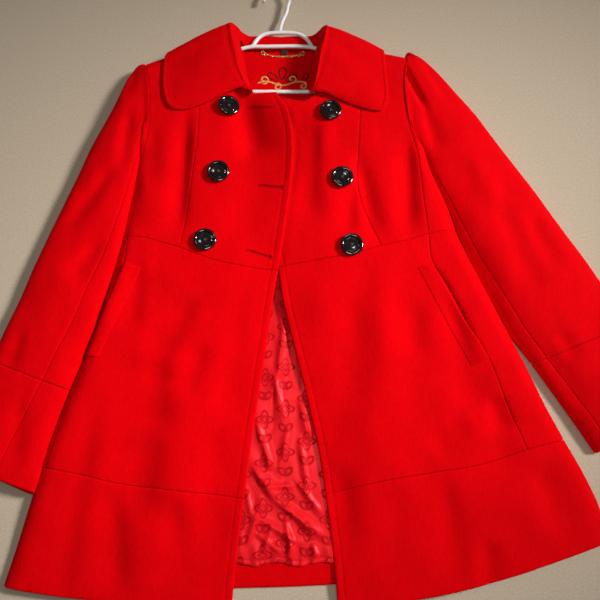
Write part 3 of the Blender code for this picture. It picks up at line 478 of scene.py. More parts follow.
# Troughs, and ridges where the depth is negative: a line from top to foot, how far each reaches
# to its left and right, and how deep it is.
FRONT_FOLDS = table(
    "top_x top_y foot_x foot_y left_reach right_reach depth",
    (-178, 300, -184, 104, 18, 12, 8.2), (-95, 340, -70, 222, 22, 30, 14.0),
    (-250, 205, -252, 108, 14, 14, 3.7), (-228, 280, -236, 180, 16, 16, 4.2),
    (-234, 47, -247, -45, 16, 20, 4.2), (-158, 5, -203, -84, 30, 20, 5.5),
    (-203, -84, -202, -191, 34, 24, 6.9), (-202, -191, -224, -303, 32, 24, 6.1),
    (-142, -65, -165, -139, 22, 18, 4.2), (-259, -272, -243, -399, 26, 20, 5.8),
    (-174, -278, -161, -391, 28, 22, 5.3), (-87, -1, -104, -172, 26, 22, 3.2),
    (-117, -186, -129, -389, 28, 30, 4.0), (-130, 30, -150, -390, 40, 44, 3.2),
    (-215, 60, -262, -390, 36, 40, 4.4), (-70, 250, -84, 80, 28, 28, 2.6),
    (-225, 84, -232, -140, 20, 16, -2.6), (-290, -150, -318, -390, 20, 20, 3.7),
    (88, 232, 116, 92, 13, 17, 7.9), (20, 312, 14, 92, 22, 17, 4.2),
    (0, 304, -6, 188, 11, 15, 3.7), (36, 304, 42, 120, 14, 19, -2.6),
    (84, 188, 72, 103, 15, 12, 3.7), (168, 262, 164, 103, 20, 14, 8.7),
    (81, -1, 72, -165, 34, 26, 5.5), (167, -1, 162, -84, 22, 20, 4.2),
    (274, -139, 284, -191, 16, 22, 6.6), (183, -213, 238, -178, 22, 22, 4.2),
    (54, -239, 68, -353, 28, 22, 4.8), (251, -330, 250, -395, 15, 18, 4.8),
    (225, -1, 235, -172, 24, 26, 3.7), (115, -239, 129, -389, 30, 28, 4.0),
    (326, -232, 364, -328, 22, 26, 4.8), (195, 59, 243, -60, 14, 12, 3.7),
    (60, 40, 78, -250, 40, 40, 2.9), (150, 30, 196, -390, 40, 44, 3.7),
    (236, -95, 300, -260, 28, 32, 3.7), (118, 60, 124, -120, 18, 24, -2.4),
    (196, -250, 214, -390, 22, 18, 3.7))

# Long shallow waves that any laid cloth has: direction in degrees, length, height and start.
WAVES = table(
    "direction length height start",
    (12, 118, 0.42, 0.3), (74, 96, 0.36, 1.9), (148, 71, 0.26, 4.1), (101, 47, 0.16, 2.6),
    (36, 53, 0.15, 5.2), (171, 33, 0.08, 0.9))


SIDE_FOLDS = {
    side: {name: column[(FRONT_FOLDS["top_x"] < -20.0) == (side == "left")]
           for name, column in FRONT_FOLDS.items()} for side in OUTWARD}


def fold_depth(rows, x, y):
    """How far a table's troughs press the cloth down at each point."""
    depth = np.zeros(np.broadcast(x, y).shape)
    for ax, ay, bx, by, left, right, deep in zip(*rows.values()):
        dx, dy = bx - ax, by - ay
        length = math.hypot(dx, dy)
        t = ((x - ax) * dx + (y - ay) * dy) / length**2
        off = ((x - ax) * dy - (y - ay) * dx) / length
        widening = TROUGH_WIDTH[0] + TROUGH_WIDTH[1] * np.clip(t, 0.0, 1.0)
        reach = np.where(off > 0.0, left, right) * widening
        ends = smooth(*TROUGH_ENDS[:2], t) * (1.0 - smooth(*TROUGH_ENDS[2:], t))
        depth = depth + deep * ends * np.exp(-(off / reach)**2)
    return depth


def waves(x, y):
    """The sum of the long shallow waves."""
    total = np.zeros(np.broadcast(x, y).shape)
    for direction, length, height, start in zip(*WAVES.values()):
        angle = math.radians(direction)
        total = total + height * np.sin(
            2.0 * math.pi * (x * math.cos(angle) + y * math.sin(angle)) / length + start)
    return total


def roundness(distance, reach):
    """0 on a rounded edge and 1 past its reach, as a quarter ellipse."""
    t = np.clip(1.0 - distance / reach, 0.0, 1.0)
    return np.sqrt(np.maximum(1.0 - t * t, 0.0))


def rolled(distance, roll):
    """How far cloth has rolled down at a distance from its seam or edge."""
    return roll[0] * (1.0 - roundness(distance, roll[1]))


def groove(distance):
    """The groove that a row of stitching pulls into the cloth."""
    return GROOVE[0] * np.exp(-(distance / GROOVE[1])**2)


def front_height(side, x, y):
    """Height of the outer face of a front above the surface."""
    height = read(LOFT, "height", "y", y) - fold_depth(SIDE_FOLDS[side], x, y) + waves(x, y)
    edge = read(FRONT_EDGES, side, "y", y)
    if side == "left":
        near = 1.0 - smooth(0.0, EDGE_REACH, edge - x)
        width = EDGE_CURL[1] + (EDGE_CURL[2] - EDGE_CURL[1]) * smooth(*CURL_WIDENS, y)
        curl = EDGE_CURL[0] * np.exp(-np.maximum(edge - x, 0.0) / width)
        curl = curl * (0.3 * smooth(*CURL_FROM[:2], y) + 0.7 * smooth(*CURL_FROM[1:], y))
        height = height + curl * (1.0 - 0.75 * smooth(EDGES_FLATTEN, 334.0, y))
    else:
        cover = read(FRONT_EDGES, "left", "y", y)
        start = np.where(y > OVERLAP_FOOT, np.maximum(cover + 6.0, edge), edge)
        near = 1.0 - smooth(0.0, 1.0, (x - start) / (EDGE_REACH - 50.0 * smooth(40.0, 140.0, y)))
        dip = (UNDERLAP_DIP[0] * smooth(*UNDERLAP_FROM[0], y)
               + UNDERLAP_DIP[1] * smooth(*UNDERLAP_FROM[1], y))
        dip = dip * (1.0 - 0.8 * smooth(EDGES_FLATTEN, 322.0, y))
        height = height - dip * np.exp(-(np.maximum(x - cover, 0.0) / UNDERLAP_DIP[2])**2)
    height = height - read(LOFT, "drop_" + side, "y", y) * near
    inward = (x - read(SIDES, side, "y", y)) * -OUTWARD[side]
    side_fall = (1.0 - smooth(*UNDERARM, y)) * (1.0 - roundness(inward, SIDE_ROUND))
    past_neck = smooth(2.0, 26.0, (x - SHOULDER_NECK[side]) * OUTWARD[side])
    shoulder_fall = past_neck * (1.0 - roundness(TOPS[side](x) - y, SHOULDER_ROUND))
    keep = (1.0 - side_fall) * (1.0 - shoulder_fall)
    return EDGE_HEIGHT + (height - EDGE_HEIGHT) * keep


def front_slopes(side, x, y, step):
    """How steeply a front rises along x and along y, taken over a step each way."""
    rise_x = (front_height(side, x + step, y) - front_height(side, x - step, y)) / (2 * step)
    rise_y = (front_height(side, x, y + step) - front_height(side, x, y - step)) / (2 * step)
    return rise_x, rise_y


def above_front(side, x, y, lift):
    """Points of a front's outer face, moved out of it by a distance."""
    rise_x, rise_y = front_slopes(side, x, y, SLOPE_STEP)
    normal = np.stack([-rise_x, -rise_y, np.ones_like(rise_x)], axis=-1)
    normal /= np.linalg.norm(normal, axis=-1, keepdims=True)
    point = np.stack([x, y, front_height(side, x, y)], axis=-1)
    return point + normal * np.asarray(lift)[..., None]


def spaced(size, step, marks=()):
    """Places along a strip of cloth: a step apart, and close together at its edges and marks."""
    close = (0.0, 0.45, 1.1, 2.0, 3.2)
    places = list(np.linspace(0.0, size, int(size / step) + 1))
    for mark in (0.0, size, *marks):
        places = [p for p in places if abs(p - mark) > close[-1] + 0.8]
        places += [mark + s * d for s in (-1.0, 1.0) for d in close if 0.0 <= mark + s * d <= size]
    return np.unique(np.round(places, 3))


def stretched(places, size, actual):
    """Places along a strip of one size, on a strip of another, keeping those near its edges."""
    rim = min(16.0, 0.3 * size)
    edge = np.minimum(rim, 0.3 * actual)
    middle = edge + (places - rim) * (actual - 2.0 * edge) / (size - 2.0 * rim)
    far = actual - (size - places) * edge / rim
    return np.where(places < rim, places * edge / rim, np.where(places > size - rim, far, middle))


def cloth_grid(left, right, foot, top, size, step, marks=()):
    """x and y of a panel of about a size, at places a step apart and closer at its edges."""
    tall = spaced(size[1], step)
    s, t = np.meshgrid(spaced(size[0], step, marks), tall)
    y = np.broadcast_to(np.linspace(0.0, 1.0, len(tall))[:, None], s.shape) * 1.0
    for _ in range(60):
        x = left(y) + stretched(s, size[0], right(y) - left(y))
        y = 0.5 * y + 0.5 * (foot(x) + stretched(t, size[1], top(x) - foot(x)))
    return left(y) + stretched(s, size[0], right(y) - left(y)), y


def puckers(distance, reach, along, pitch, drift, strength=1.0):
    """Small puckers beside a seam, which come at uneven steps along it."""
    return strength * np.exp(-distance / reach) * np.sin(along / pitch + np.sin(along / drift) * 2.0)


def add_front_panel(name, side, inner_line, outer_line, foot, top, size,
                    inner_edge=False, foot_edge=False, outer_edge=False, ends_at=None,
                    rolls=(SEAM_ROLL, SEAM_ROLL), pocket=False):
    """One cut piece of a front, rolled down at its seams and at its turned edges."""
    low, high = (outer_line, inner_line) if side == "left" else (inner_line, outer_line)
    marks = []
    if inner_edge:
        marks = [size[0] - STITCH_LINE if side == "left" else STITCH_LINE]
    x, y = cloth_grid(low, high, foot, top, size, FRONT_STEP, marks)
    if ends_at is not None:
        keep = y.max(axis=1) < ends_at
        x, y = x[keep], y[keep]
    to_inner = np.abs(x - inner_line(y))
    to_outer = np.abs(outer_line(y) - x)
    to_foot = y - foot(x)
    to_top = top(x) - y
    drop = rolled(to_inner, EDGE_ROLL if inner_edge else rolls[0])
    drop = np.maximum(drop, rolled(to_foot, EDGE_ROLL if foot_edge else SEAM_ROLL))
    drop = np.maximum(drop, rolled(to_top, SEAM_ROLL))
    if not outer_edge:
        drop = np.maximum(drop, rolled(to_outer, rolls[1]))
    if inner_edge:
        drop = drop + groove(to_inner - STITCH_LINE)
    if pocket:
        by_pocket = smooth(0.0, 14.0, y - POCKET_REACH[0]) * smooth(0.0, 10.0, POCKET_REACH[1] - y)
        dip = rolled(to_inner if outer_edge else to_outer, POCKET_DIP)
        drop = np.maximum(drop, dip * by_pocket)
    pucker = puckers(np.minimum(to_foot, to_top), reach=8.0, along=x, pitch=2.3, drift=9.0)
    beside_seam = to_inner if outer_edge else np.minimum(to_inner, to_outer)
    pucker = pucker + puckers(beside_seam, reach=7.0, along=y, pitch=2.6, drift=11.0, strength=0.7)
    outer = above_front(side, x, y, -drop + PUCKER * pucker)
    outer[..., 2] = np.maximum(outer[..., 2], back_height(y) + 2.0 * CLOTH + 2.0 * SEAM_GAP)
    return lay_cloth(name, outer, wool)


def add_front(side):
    """The six cut pieces of one front."""
    inward = -OUTWARD[side] * half_gap
    edge = along_edge(FRONT_EDGES, side)
    princess = along_edge(PRINCESS_SEAMS, side)
    side_front = along_edge(SIDE_FRONT_SEAMS, side)
    body_side = along_edge(SIDES, side)
    waist, band, hem, top = WAISTS[side], BANDS[side], HEMS[side], TOPS[side]

    def armhole_side(y):
        armhole = smooth(*ARMHOLE_FOOT, y)
        return side_front(y) * (1.0 - armhole) + body_side(y) * armhole

    add_front_panel("bodice_front_" + side, side, edge, moved(princess, inward),
                    moved(waist, half_gap), top, size=(150.0, 330.0), inner_edge=True,
                    rolls=(EDGE_ROLL, PRINCESS_ROLL[side]))
    add_front_panel("bodice_side_" + side, side, moved(princess, -inward),
                    moved(armhole_side, inward), moved(waist, half_gap), top, size=(80.0, 330.0),
                    rolls=(PRINCESS_ROLL[side], UNDERARM_ROLL[side]))
    add_front_panel("bodice_underarm_" + side, side, moved(armhole_side, -inward), body_side,
                    moved(waist, half_gap), top, size=(22.0, 330.0), outer_edge=True,
                    ends_at=UNDERARM_TOP, rolls=(UNDERARM_ROLL[side], SEAM_ROLL))
    add_front_panel("skirt_front_" + side, side, edge, moved(side_front, inward),
                    moved(band, half_gap), moved(waist, -half_gap), size=(265.0, 330.0),
                    inner_edge=True, pocket=True)
    add_front_panel("skirt_side_" + side, side, moved(side_front, -inward), body_side,
                    moved(band, half_gap), moved(waist, -half_gap), size=(50.0, 320.0),
                    outer_edge=True, pocket=True)
    add_front_panel("hem_band_" + side, side, edge, body_side, hem, moved(band, -half_gap),
                    size=(320.0, 145.0), inner_edge=True, foot_edge=True, outer_edge=True)


for front_side in ("left", "right"):
    add_front(front_side)


# ---------------------------------------------------------------- the sleeves
# Each sleeve is a top sleeve and an under sleeve, sewn along the elbow and underneath, and a cuff
# band. They are set in with a little fullness at the head and lie beside the body as flat tubes.
SIDE_GAP = 0.5
CAP_PUFF = 2.2                   # how far the sleeve's head stands above its seam to the body
ARMHOLE_GAP = 0.15
ARMHOLE_TUCK = (4.0, 4.5)        # how far in and down the sleeve's seam allowance goes at the armhole
SLEEVE_STEP = 3.2
SLEEVE_MIDDLE = 6.0              # height of the sleeve's widest point above the surface
SLEEVE_UNDER_SEAM = 0.72         # where the under seam lies, across the sleeve's underside
SLEEVE_UNDER_BOXY = 0.35
LEAN_HEIGHTS = (9.0, 22.0)       # heights between which the sleeve starts to lean over the body
SLEEVE_LENGTH = 560.0
CUFF_LENGTH = 140.0
CUFF_AT = 12.0                   # the station where the cuff band starts
CUFF_GAP = 0.003                 # from there to each piece, as a share of a station
CUFF_GIRTHS = {"left": (100.0, 65.0, 165.0), "right": (127.0, 38.0, 165.0)}
CUFF_SLIP = 4.0                  # how far the cuff's under layer reaches past its upper one

# Stations from the armhole to the cuff's end: the far edge, the edge by the body, the height of the
# sleeve, how boxy it is at its far edge, where its long seam lies (0 by the body, 1 at the far edge),
# how boxy it is by the body, and how far its upper layer leans over the body's side there.
SLEEVES = {
    "left": table(
        "at far_x far_y near_y near_x height boxy seam near lean",
        (0, -252, 398, 263, 0, 34, 0.12, 0.03, 0.12, 0), (1, -268, 399, 252, 0, 35, 0.22, 0.03, 0.3, 6),
        (2, -283, 377, 238, 0, 36, 0.4, 0.04, 0.3, 6.5), (3, -291, 341, 216, 0, 36, 0.5, 0.06, 0.3, 6.5),
        (4, -308, 299, 180, 0, 35, 0.55, 0.08, 0.3, 6.5), (5, -330, 249, 145, 0, 34, 0.55, 0.1, 0.3, 6.5),
        (6, -348, 197, 110, 0, 33, 0.55, 0.13, 0.3, 6.5), (7, -366, 148, 75, 0, 32, 0.55, 0.16, 0.3, 6.5),
        (8, -383, 102, 40, 0, 31, 0.55, 0.19, 0.3, 6), (9, -400, 53, 4, 0, 31, 0.55, 0.22, 0.3, 5),
        (10, -416, 2, -40, 0, 30, 0.55, 0.25, 0.3, 4), (11, -432, -42, -84, 0, 30, 0.55, 0.28, 0.35, 2.5),
        (12, -447, -87, -131, 0, 30, 0.55, 0.3, 0.4, 3),
        (13, -465, -129, -178, 0, 29, 0.55, 0.33, 0.35, 8),
        (14, -484, -171, -226, 0, 27, 0.55, 0.36, 0.35, 12.5),
        (15, -503, -214, -272, 0, 25, 0.55, 0.39, 0.35, 12)),
    "right": table(
        "at far_x far_y near_y near_x height boxy seam near lean",
        (0, 174, 414, 263, 0, 34, 0.12, 0.02, 0.12, 0), (1, 187, 425, 252, 0, 36, 0.22, 0.02, 0.3, 6),
        (2, 205, 410, 238, 0, 36, 0.40, 0.02, 0.3, 6.5), (3, 226, 382, 220, 0, 35, 0.50, 0.02, 0.3, 6.5),
        (4, 252, 348, 195, 0, 34, 0.55, 0.03, 0.3, 6.5), (5, 283, 306, 165, 0, 33, 0.55, 0.05, 0.35, 6),
        (6, 310, 262, 135, 0, 32, 0.55, 0.07, 0.45, 5), (7, 338, 218, 100, 0, 31, 0.55, 0.09, 0.6, 3.5),
        (8, 368, 170, 65, 0, 31, 0.55, 0.09, 0.8, 1.5), (9, 396, 122, 30, 0, 30, 0.55, 0.10, 0.9, 0),
        (10, 424, 76, -5, 0, 30, 0.55, 0.11, 0.95, 0), (11, 453, 25, -46, 0, 29, 0.55, 0.12, 0.95, 0),
        (12, 486, -33, -92, 338, 28, 0.55, 0.12, 0.95, 0),
        (13, 508, -69, -133, 364, 27, 0.55, 0.13, 0.95, 0),
        (14, 530, -104, -175, 390, 26, 0.55, 0.13, 0.95, 0),
        (15, 552, -140, -217, 415, 25, 0.55, 0.13, 0.95, 0))}
for sleeve_side, sleeve_rows in SLEEVES.items():
    beside = read(SIDES, sleeve_side, "y", sleeve_rows["near_y"]) + OUTWARD[sleeve_side] * SIDE_GAP
    sleeve_rows["near_x"] = np.where(sleeve_rows["near_x"] == 0.0, beside, sleeve_rows["near_x"])

SLEEVE_FOLDS = table(
    "top_x top_y foot_x foot_y left_reach right_reach depth",
    (-284, 215, -354, 106, 13, 17, 5.0), (-299, 91, -341, 33, 12, 16, 4.6),
    (-342, -146, -370, -247, 9, 15, 5.0), (-268, 307, -276, 203, 11, 13, 4.6),
    (-301, -46, -337, -117, 11, 14, 4.2), (-401, -46, -416, -103, 14, 14, 3.4),
    (-393, -145, -396, -239, 16, 14, 3.4), (-264, 385, -280, 330, 9, 11, 3.4),
    (204, 184, 253, 90, 12, 15, 5.7), (253, 90, 291, -1, 13, 15, 5.7),
    (347, 138, 382, 46, 16, 18, 4.8), (149, 426, 200, 305, 5, 6, 8.5),
    (199, 396, 240, 324, 10, 13, 4.6), (197, 307, 216, 237, 10, 14, 5.0),
    (303, 154, 350, 13, 20, 22, 4.2), (372, -46, 396, -89, 14, 14, 3.4),
    (349, -67, 402, -159, 12, 16, 3.8), (262, 230, 300, 140, 16, 20, -3.0),
    (440, -60, 470, -160, 18, 18, 2.6))


def even_rows(points, places, size):
    """A grid's rows, each read again at places along it that keep their distance to its ends."""
    arcs = arc_from(points, 1)
    out = np.empty((len(points), len(places), 3))
    for row, arc, made in zip(points, arcs, out):
        at = stretched(places, size, arc[-1])
        for axis in range(3):
            made[:, axis] = np.interp(at, arc, row[:, axis])
    return out


def pressed(points, edges, closed=False, grooves=()):
    """A grid's points, rolled down at its edges: first row, last row, first and last column."""
    down = arc_from(points, 0)
    side = arc_from(points, 1)
    distances = (down, down[-1:] - down, side, side[:, -1:] - side)
    drop = np.zeros(points.shape[:2])
    for distance, roll in zip(distances, edges):
        if roll is not None:
            drop = np.maximum(drop, rolled(distance, roll))
    for number, away in grooves:
        drop = drop + groove(distances[number] - away)
    return points - grid_normals(points, closed) * drop[..., None]


def level(value):
    """A line that keeps one value all along it."""
    return lambda at: value + 0.0 * at


def sleeve_face(side, at, turns):
    """Points of a sleeve's outer face at a station: turns 0 at the far edge, 0.5 by the body."""
    rows = SLEEVES[side]
    body_side = along_edge(SIDES, side)
    out = OUTWARD[side]
    near_y = read(rows, "near_y", "at", at)
    near_x = read(rows, "near_x", "at", at)
    near_x = out * np.maximum(out * near_x, out * body_side(near_y) + SIDE_GAP)
    far_x, far_y = read(rows, "far_x", "at", at), read(rows, "far_y", "at", at)
    angle = turns * 2.0 * math.pi
    c, s = np.cos(angle), np.abs(np.sin(angle))
    x = (far_x + near_x) / 2.0 + c * (far_x - near_x) / 2.0
    y = (far_y + near_y) / 2.0 + c * (far_y - near_y) / 2.0
    follow = np.clip(1.0 - at / 3.0, 0.0, 1.0)**1.5
    x = x + follow * (body_side(y) + out * ARMHOLE_GAP - x)
    crown = read(rows, "height", "at", at) + waves(x * 1.3, y * 0.8) * smooth(0.2, 1.5, at)
    crown = crown + follow * (front_height(side, body_side(y), y) - crown)
    crown = crown - fold_depth(SLEEVE_FOLDS, x, y) * smooth(0.1, 0.45, at)
    crown = crown + CAP_PUFF * smooth(0.0, 0.12, at) * (1.0 - smooth(0.25, 1.2, at))
    upper = np.mod(turns, 1.0) <= 0.5
    by_body = smooth(-0.1, -0.8, c)
    boxy = read(rows, "boxy", "at", at) * (1.0 - by_body) + read(rows, "near", "at", at) * by_body
    over = SLEEVE_MIDDLE + (crown - SLEEVE_MIDDLE) * s**boxy
    under = SLEEVE_MIDDLE - SLEEVE_MIDDLE * s**SLEEVE_UNDER_BOXY
    lean = np.where(upper, read(rows, "lean", "at", at) * (0.5 - 0.5 * c)**5, 0.0)
    x = x - out * lean * smooth(*LEAN_HEIGHTS, over)
    slip = np.where(upper, 0.0, CUFF_SLIP * s**0.5) * smooth(14.5, 15.0, at)
    y = y - slip
    x = x + slip * 0.45 * out
    return np.stack([x, y, np.where(upper, over, under)], axis=-1)


def long_seam(side, at):
    """Where the long seam lies round a station, in turns."""
    share = read(SLEEVES[side], "seam", "at", at)
    return np.arccos(np.clip(2.0 * share - 1.0, -0.995, 0.995)) / (2.0 * math.pi)


def add_sleeve_piece(name, side, first, last, lines, girths, length, edges, closed=False):
    """One cut piece of a sleeve: strips between lines round it, which meet at folds.

    A closed one is a cuff band, whose first two strips meet at the long seam.
    """
    tall = spaced(length, SLEEVE_STEP)
    at = (first + (last - first) * tall / length)[:, None]
    share = np.linspace(0.0, 1.0, 260)[None, :]
    strips = []
    for start, end, girth in zip(lines, lines[1:], girths):
        dense = sleeve_face(side, at, start(at) + (end(at) - start(at)) * share)
        strips.append(even_rows(dense, spaced(girth, SLEEVE_STEP), girth))
    face = np.concatenate([strips[0]] + [strip[:, 1:] for strip in strips[1:]], axis=1)
    if closed:
        face = face[:, :-1]
    seam_column = strips[0].shape[1] - 1
    if side == "left":
        face = face[:, ::-1]
        seam_column = face.shape[1] - 1 - seam_column
    face = pressed(face, edges, closed)
    if closed:
        arc = arc_from(face, 1)
        from_seam = np.abs(arc - arc[:, seam_column:seam_column + 1])
        face = face - grid_normals(face, True) * rolled(from_seam, SEAM_ROLL)[..., None]
    if first == 0.0:
        tuck = np.array([-OUTWARD[side] * ARMHOLE_TUCK[0], 0.0, -ARMHOLE_TUCK[1]])
        face = np.concatenate([face[:1] + tuck * smooth(6.0, 12.0, face[:1, :, 2:]), face])
    face[..., 2] = np.maximum(face[..., 2], 0.02)
    return lay_cloth(name + side, face, wool, closed=closed)


def add_sleeve(side):
    """The two cut pieces and the cuff band of one sleeve."""
    under = 1.0 - math.acos(2.0 * SLEEVE_UNDER_SEAM - 1.0) / (2.0 * math.pi)

    def seam(at):
        return long_seam(side, at)

    add_sleeve_piece("top_sleeve_", side, 0.0, CUFF_AT - CUFF_GAP,
                     (level(under - 1.0), level(0.0), seam), (110.0, 160.0), SLEEVE_LENGTH,
                     (SEAM_ROLL,) * 4)
    add_sleeve_piece("under_sleeve_", side, 0.0, CUFF_AT - CUFF_GAP,
                     (seam, level(0.5), level(under)), (40.0, 90.0), SLEEVE_LENGTH,
                     (SEAM_ROLL,) * 4)
    add_sleeve_piece("cuff_", side, CUFF_AT + CUFF_GAP, 15.0,
                     (level(0.0), seam, level(0.5), level(1.0)), CUFF_GIRTHS[side], CUFF_LENGTH,
                     (SEAM_ROLL, EDGE_ROLL, None, None), closed=True)


for sleeve_side in ("left", "right"):
    add_sleeve(sleeve_side)


# ---------------------------------------------------------------- the collar
# A wide turned-down collar in two layers of the wool, cut in one piece with its stand, turned out
# at its edge and topstitched there. It is sewn round the neck and its back lies under the coat.
COLLAR_CLOTH = 3.4
COLLAR_REST = 1.7
COLLAR_STITCH = 7.0
COLLAR_STEP = 2.4
COLLAR_TOP_STATIONS = 8          # stations whose fall lies on the front
COLLAR_MIDDLE = -33.0            # x of the middle of the neck
COLLAR_LOW = 21.0                # height above which the collar lies on the fronts
COLLAR_WIDTH = 150.0
STAND_PLACES = (0.0, 0.4, 0.8)   # shares of the way up the stand, and down the fall
FALL_PLACES = (0.05, 0.12, 0.22, 0.36, 0.54, 0.76, 0.92, 1.0)
COLLAR = {
    "left": table(
        "neck_x neck_y neck_z roll_x roll_y roll_z edge_x edge_y edge_z",
        (-75, 334, 37, -78, 335, 39, -85, 337.5, 38.5), (-76, 345, 34, -84, 344, 43, -98, 340.5, 40),
        (-80, 356, 29, -90, 355, 46, -129, 326, 38), (-86, 376, 25, -98, 376, 49, -176, 306, 38),
        (-90, 400, 23, -103, 400, 51, -206, 311, 38), (-93, 417, 23, -107, 418, 52, -217, 343, 37),
        (-97, 429, 23, -110, 432, 51, -219, 377, 36), (-98, 437, 22, -112, 446, 51, -218, 402, 36),
        (-98, 444, 19, -112, 457, 46, -216, 416, 24), (-96, 446, 12, -105, 463, 31, -216, 422, 0),
        (-93, 441, 8, -96, 463, 16, -196, 388, 0), (-85, 437, 6.6, -86, 461, 8.8, -150, 368, 0),
        (-62, 435, 6.5, -62, 460, 8.6, -90, 360, 0), (-33, 435, 6.5, -33, 459, 8.4, -33, 358, 0)),
    "right": table(
        "neck_x neck_y neck_z roll_x roll_y roll_z edge_x edge_y edge_z",
        (17, 334, 38, 20, 335, 40, 25, 334.5, 39), (14, 341, 34, 23, 342, 43, 41, 331, 40),
        (14, 351, 29, 25, 353, 46, 68, 320, 38), (16, 370, 25, 28, 370, 48, 104, 306, 38),
        (19, 395, 23, 32, 395, 50, 130, 304, 38), (23, 413, 23, 36, 413, 52, 139, 328, 37),
        (27, 428, 23, 40, 430, 51, 138, 366, 36), (28, 437, 22, 42, 444, 49, 137, 399, 36),
        (29, 443, 19, 42, 454, 44, 138, 420, 26), (28, 446, 12, 37, 461, 31, 138, 425, 0),
        (25, 441, 8, 28, 462, 16, 118, 388, 0), (18, 437, 6.6, 19, 461, 8.8, 84, 368, 0),
        (-4, 435, 6.5, -4, 460, 8.6, 24, 360, 0))}


def collar_section(side, i):
    """Points across the collar at one station: up the stand, over the roll, down the fall."""
    rows = COLLAR[side]
    neck, roll, edge = (np.array([rows[part + "_" + axis][i] for axis in "xyz"])
                        for part in ("neck", "roll", "edge"))
    points = [neck + (roll - neck) * t for t in STAND_PLACES] + [roll]
    for t in FALL_PLACES:
        point = roll + (edge - roll) * t
        if i < COLLAR_TOP_STATIONS:
            loft = roll[2] + (edge[2] - roll[2]) * t**0.8 + 2.0 * math.sin(math.pi * t)
            point[2] = loft - (1.2 if t < 0.1 else 0.0)
        elif i == COLLAR_TOP_STATIONS:
            point[1] += 3.0 * math.sin(math.pi * t)
        else:
            point[2] = roll[2] * max(0.0, 1.0 - t / 0.2)**0.7
            if i == COLLAR_TOP_STATIONS + 1:
                point[1] += 4.0 * math.sin(math.pi * t)
        points.append(point)
    return points


def refined(points, parts):
    """A grid with each step down it cut in parts, on a smooth curve through its rows."""
    padded = np.concatenate([2 * points[:1] - points[1:2], points, 2 * points[-1:] - points[-2:-1]])
    at = np.linspace(0.0, len(points) - 1.0, (len(points) - 1) * parts + 1)
    i = np.minimum(at.astype(int), len(points) - 2)
    t = (at - i).reshape(-1, *(1,) * (points.ndim - 1))
    a, b, c, d = (padded[i + k] for k in range(4))
    return 0.5 * (2 * b + (c - a) * t + (2 * a - 5 * b + 4 * c - d) * t**2
                  + (3 * b - a - 3 * c + d) * t**3)


collar_rows = [collar_section("left", i) for i in range(len(COLLAR["left"]["neck_x"]))]
collar_rows += [collar_section("right", i) for i in reversed(range(len(COLLAR["right"]["neck_x"])))]
collar_face = refined(np.array(collar_rows), 14)
collar_face = refined(collar_face.transpose(1, 0, 2), 8).transpose(1, 0, 2)
collar_x, collar_y, collar_z = (collar_face[..., axis] for axis in range(3))
for collar_side in ("left", "right"):
    over_front = (collar_z > COLLAR_LOW) & ((collar_x - COLLAR_MIDDLE) * OUTWARD[collar_side] > 0.0)
    lowest = front_height(collar_side, collar_x, collar_y) + COLLAR_CLOTH + COLLAR_REST
    past_top = collar_y - TOPS[collar_side](collar_x)
    lift = np.maximum(lowest - collar_z, 0.0) * (1.0 - smooth(0.0, 18.0, past_top))
    collar_z += np.where(over_front, lift, 0.0)
np.maximum(collar_z, 0.0, out=collar_z)
collar_z += 0.7 * waves(collar_x * 1.4, collar_y * 1.4) * (collar_z > COLLAR_LOW)
collar_places = spaced(COLLAR_WIDTH, COLLAR_STEP, (COLLAR_STITCH,))
collar_face = even_rows(collar_face[:, ::-1], collar_places, COLLAR_WIDTH)
collar_face = pressed(collar_face, (EDGE_ROLL, EDGE_ROLL, EDGE_ROLL, None),
                      grooves=((2, COLLAR_STITCH),))
lay_cloth("collar", collar_face, wool, COLLAR_CLOTH)


# ---------------------------------------------------------------- the hanger
# A tubular hanger of white plastic, moulded in one piece: arms, a bar, an arch and a round hook.
# It lies between the back and the fronts with its hook above the collar.
HANGER_TUBE = 6.6
HANGER_HEIGHT = 12.6
HANGER_GRAIN = 0.85              # size of the fused mesh's faces
HOOK_RADIUS = 22.0
HOOK_CENTRE = (-40.0, 527.0)
HOOK_ENDS = (-28.0, 205.0)       # where its bend starts and stops, in degrees
HOOK_TUBE = HANGER_TUBE * 0.95
UPWARD = np.array([0.0, 0.0, 1.0])
HANGER_FRAME = (
    (-216, 352.5), (-228, 357), (-235, 365), (-232, 374), (-222, 380), (-170, 402), (-130, 420),
    (-110, 428), (-84, 435.5), (-60, 436.5), (8, 436.5), (36, 429), (60, 419), (116, 394),
    (156, 376), (165, 368), (162, 358), (150, 352.5))
HANGER_ARCH = ((-80, 434.6), (-72, 449), (-64, 457.5), (-52, 462), (-28, 463.5), (-5, 461.3), (8, 454),
               (15, 445), (20, 434.8))
HOOK_SHAFT = ((-33.3, 462.4), (-32.4, 474), (-29, 487), (-23, 502))


def join_rings(mesh, rings, closed=False, caps=False, turned_over=False):
    """Faces between rings of corners that follow each other, and over the two ends."""
    count = len(rings[0])
    for low, high in zip(rings, rings[1:] + (rings[:1] if closed else [])):
        for k in range(count):
            n = (k + 1) % count
            if turned_over:
                mesh.faces.new((low[k], high[k], high[n], low[n]))
            else:
                mesh.faces.new((low[k], low[n], high[n], high[k]))
    if caps:
        mesh.faces.new(rings[0][::-1])
        mesh.faces.new(rings[-1])


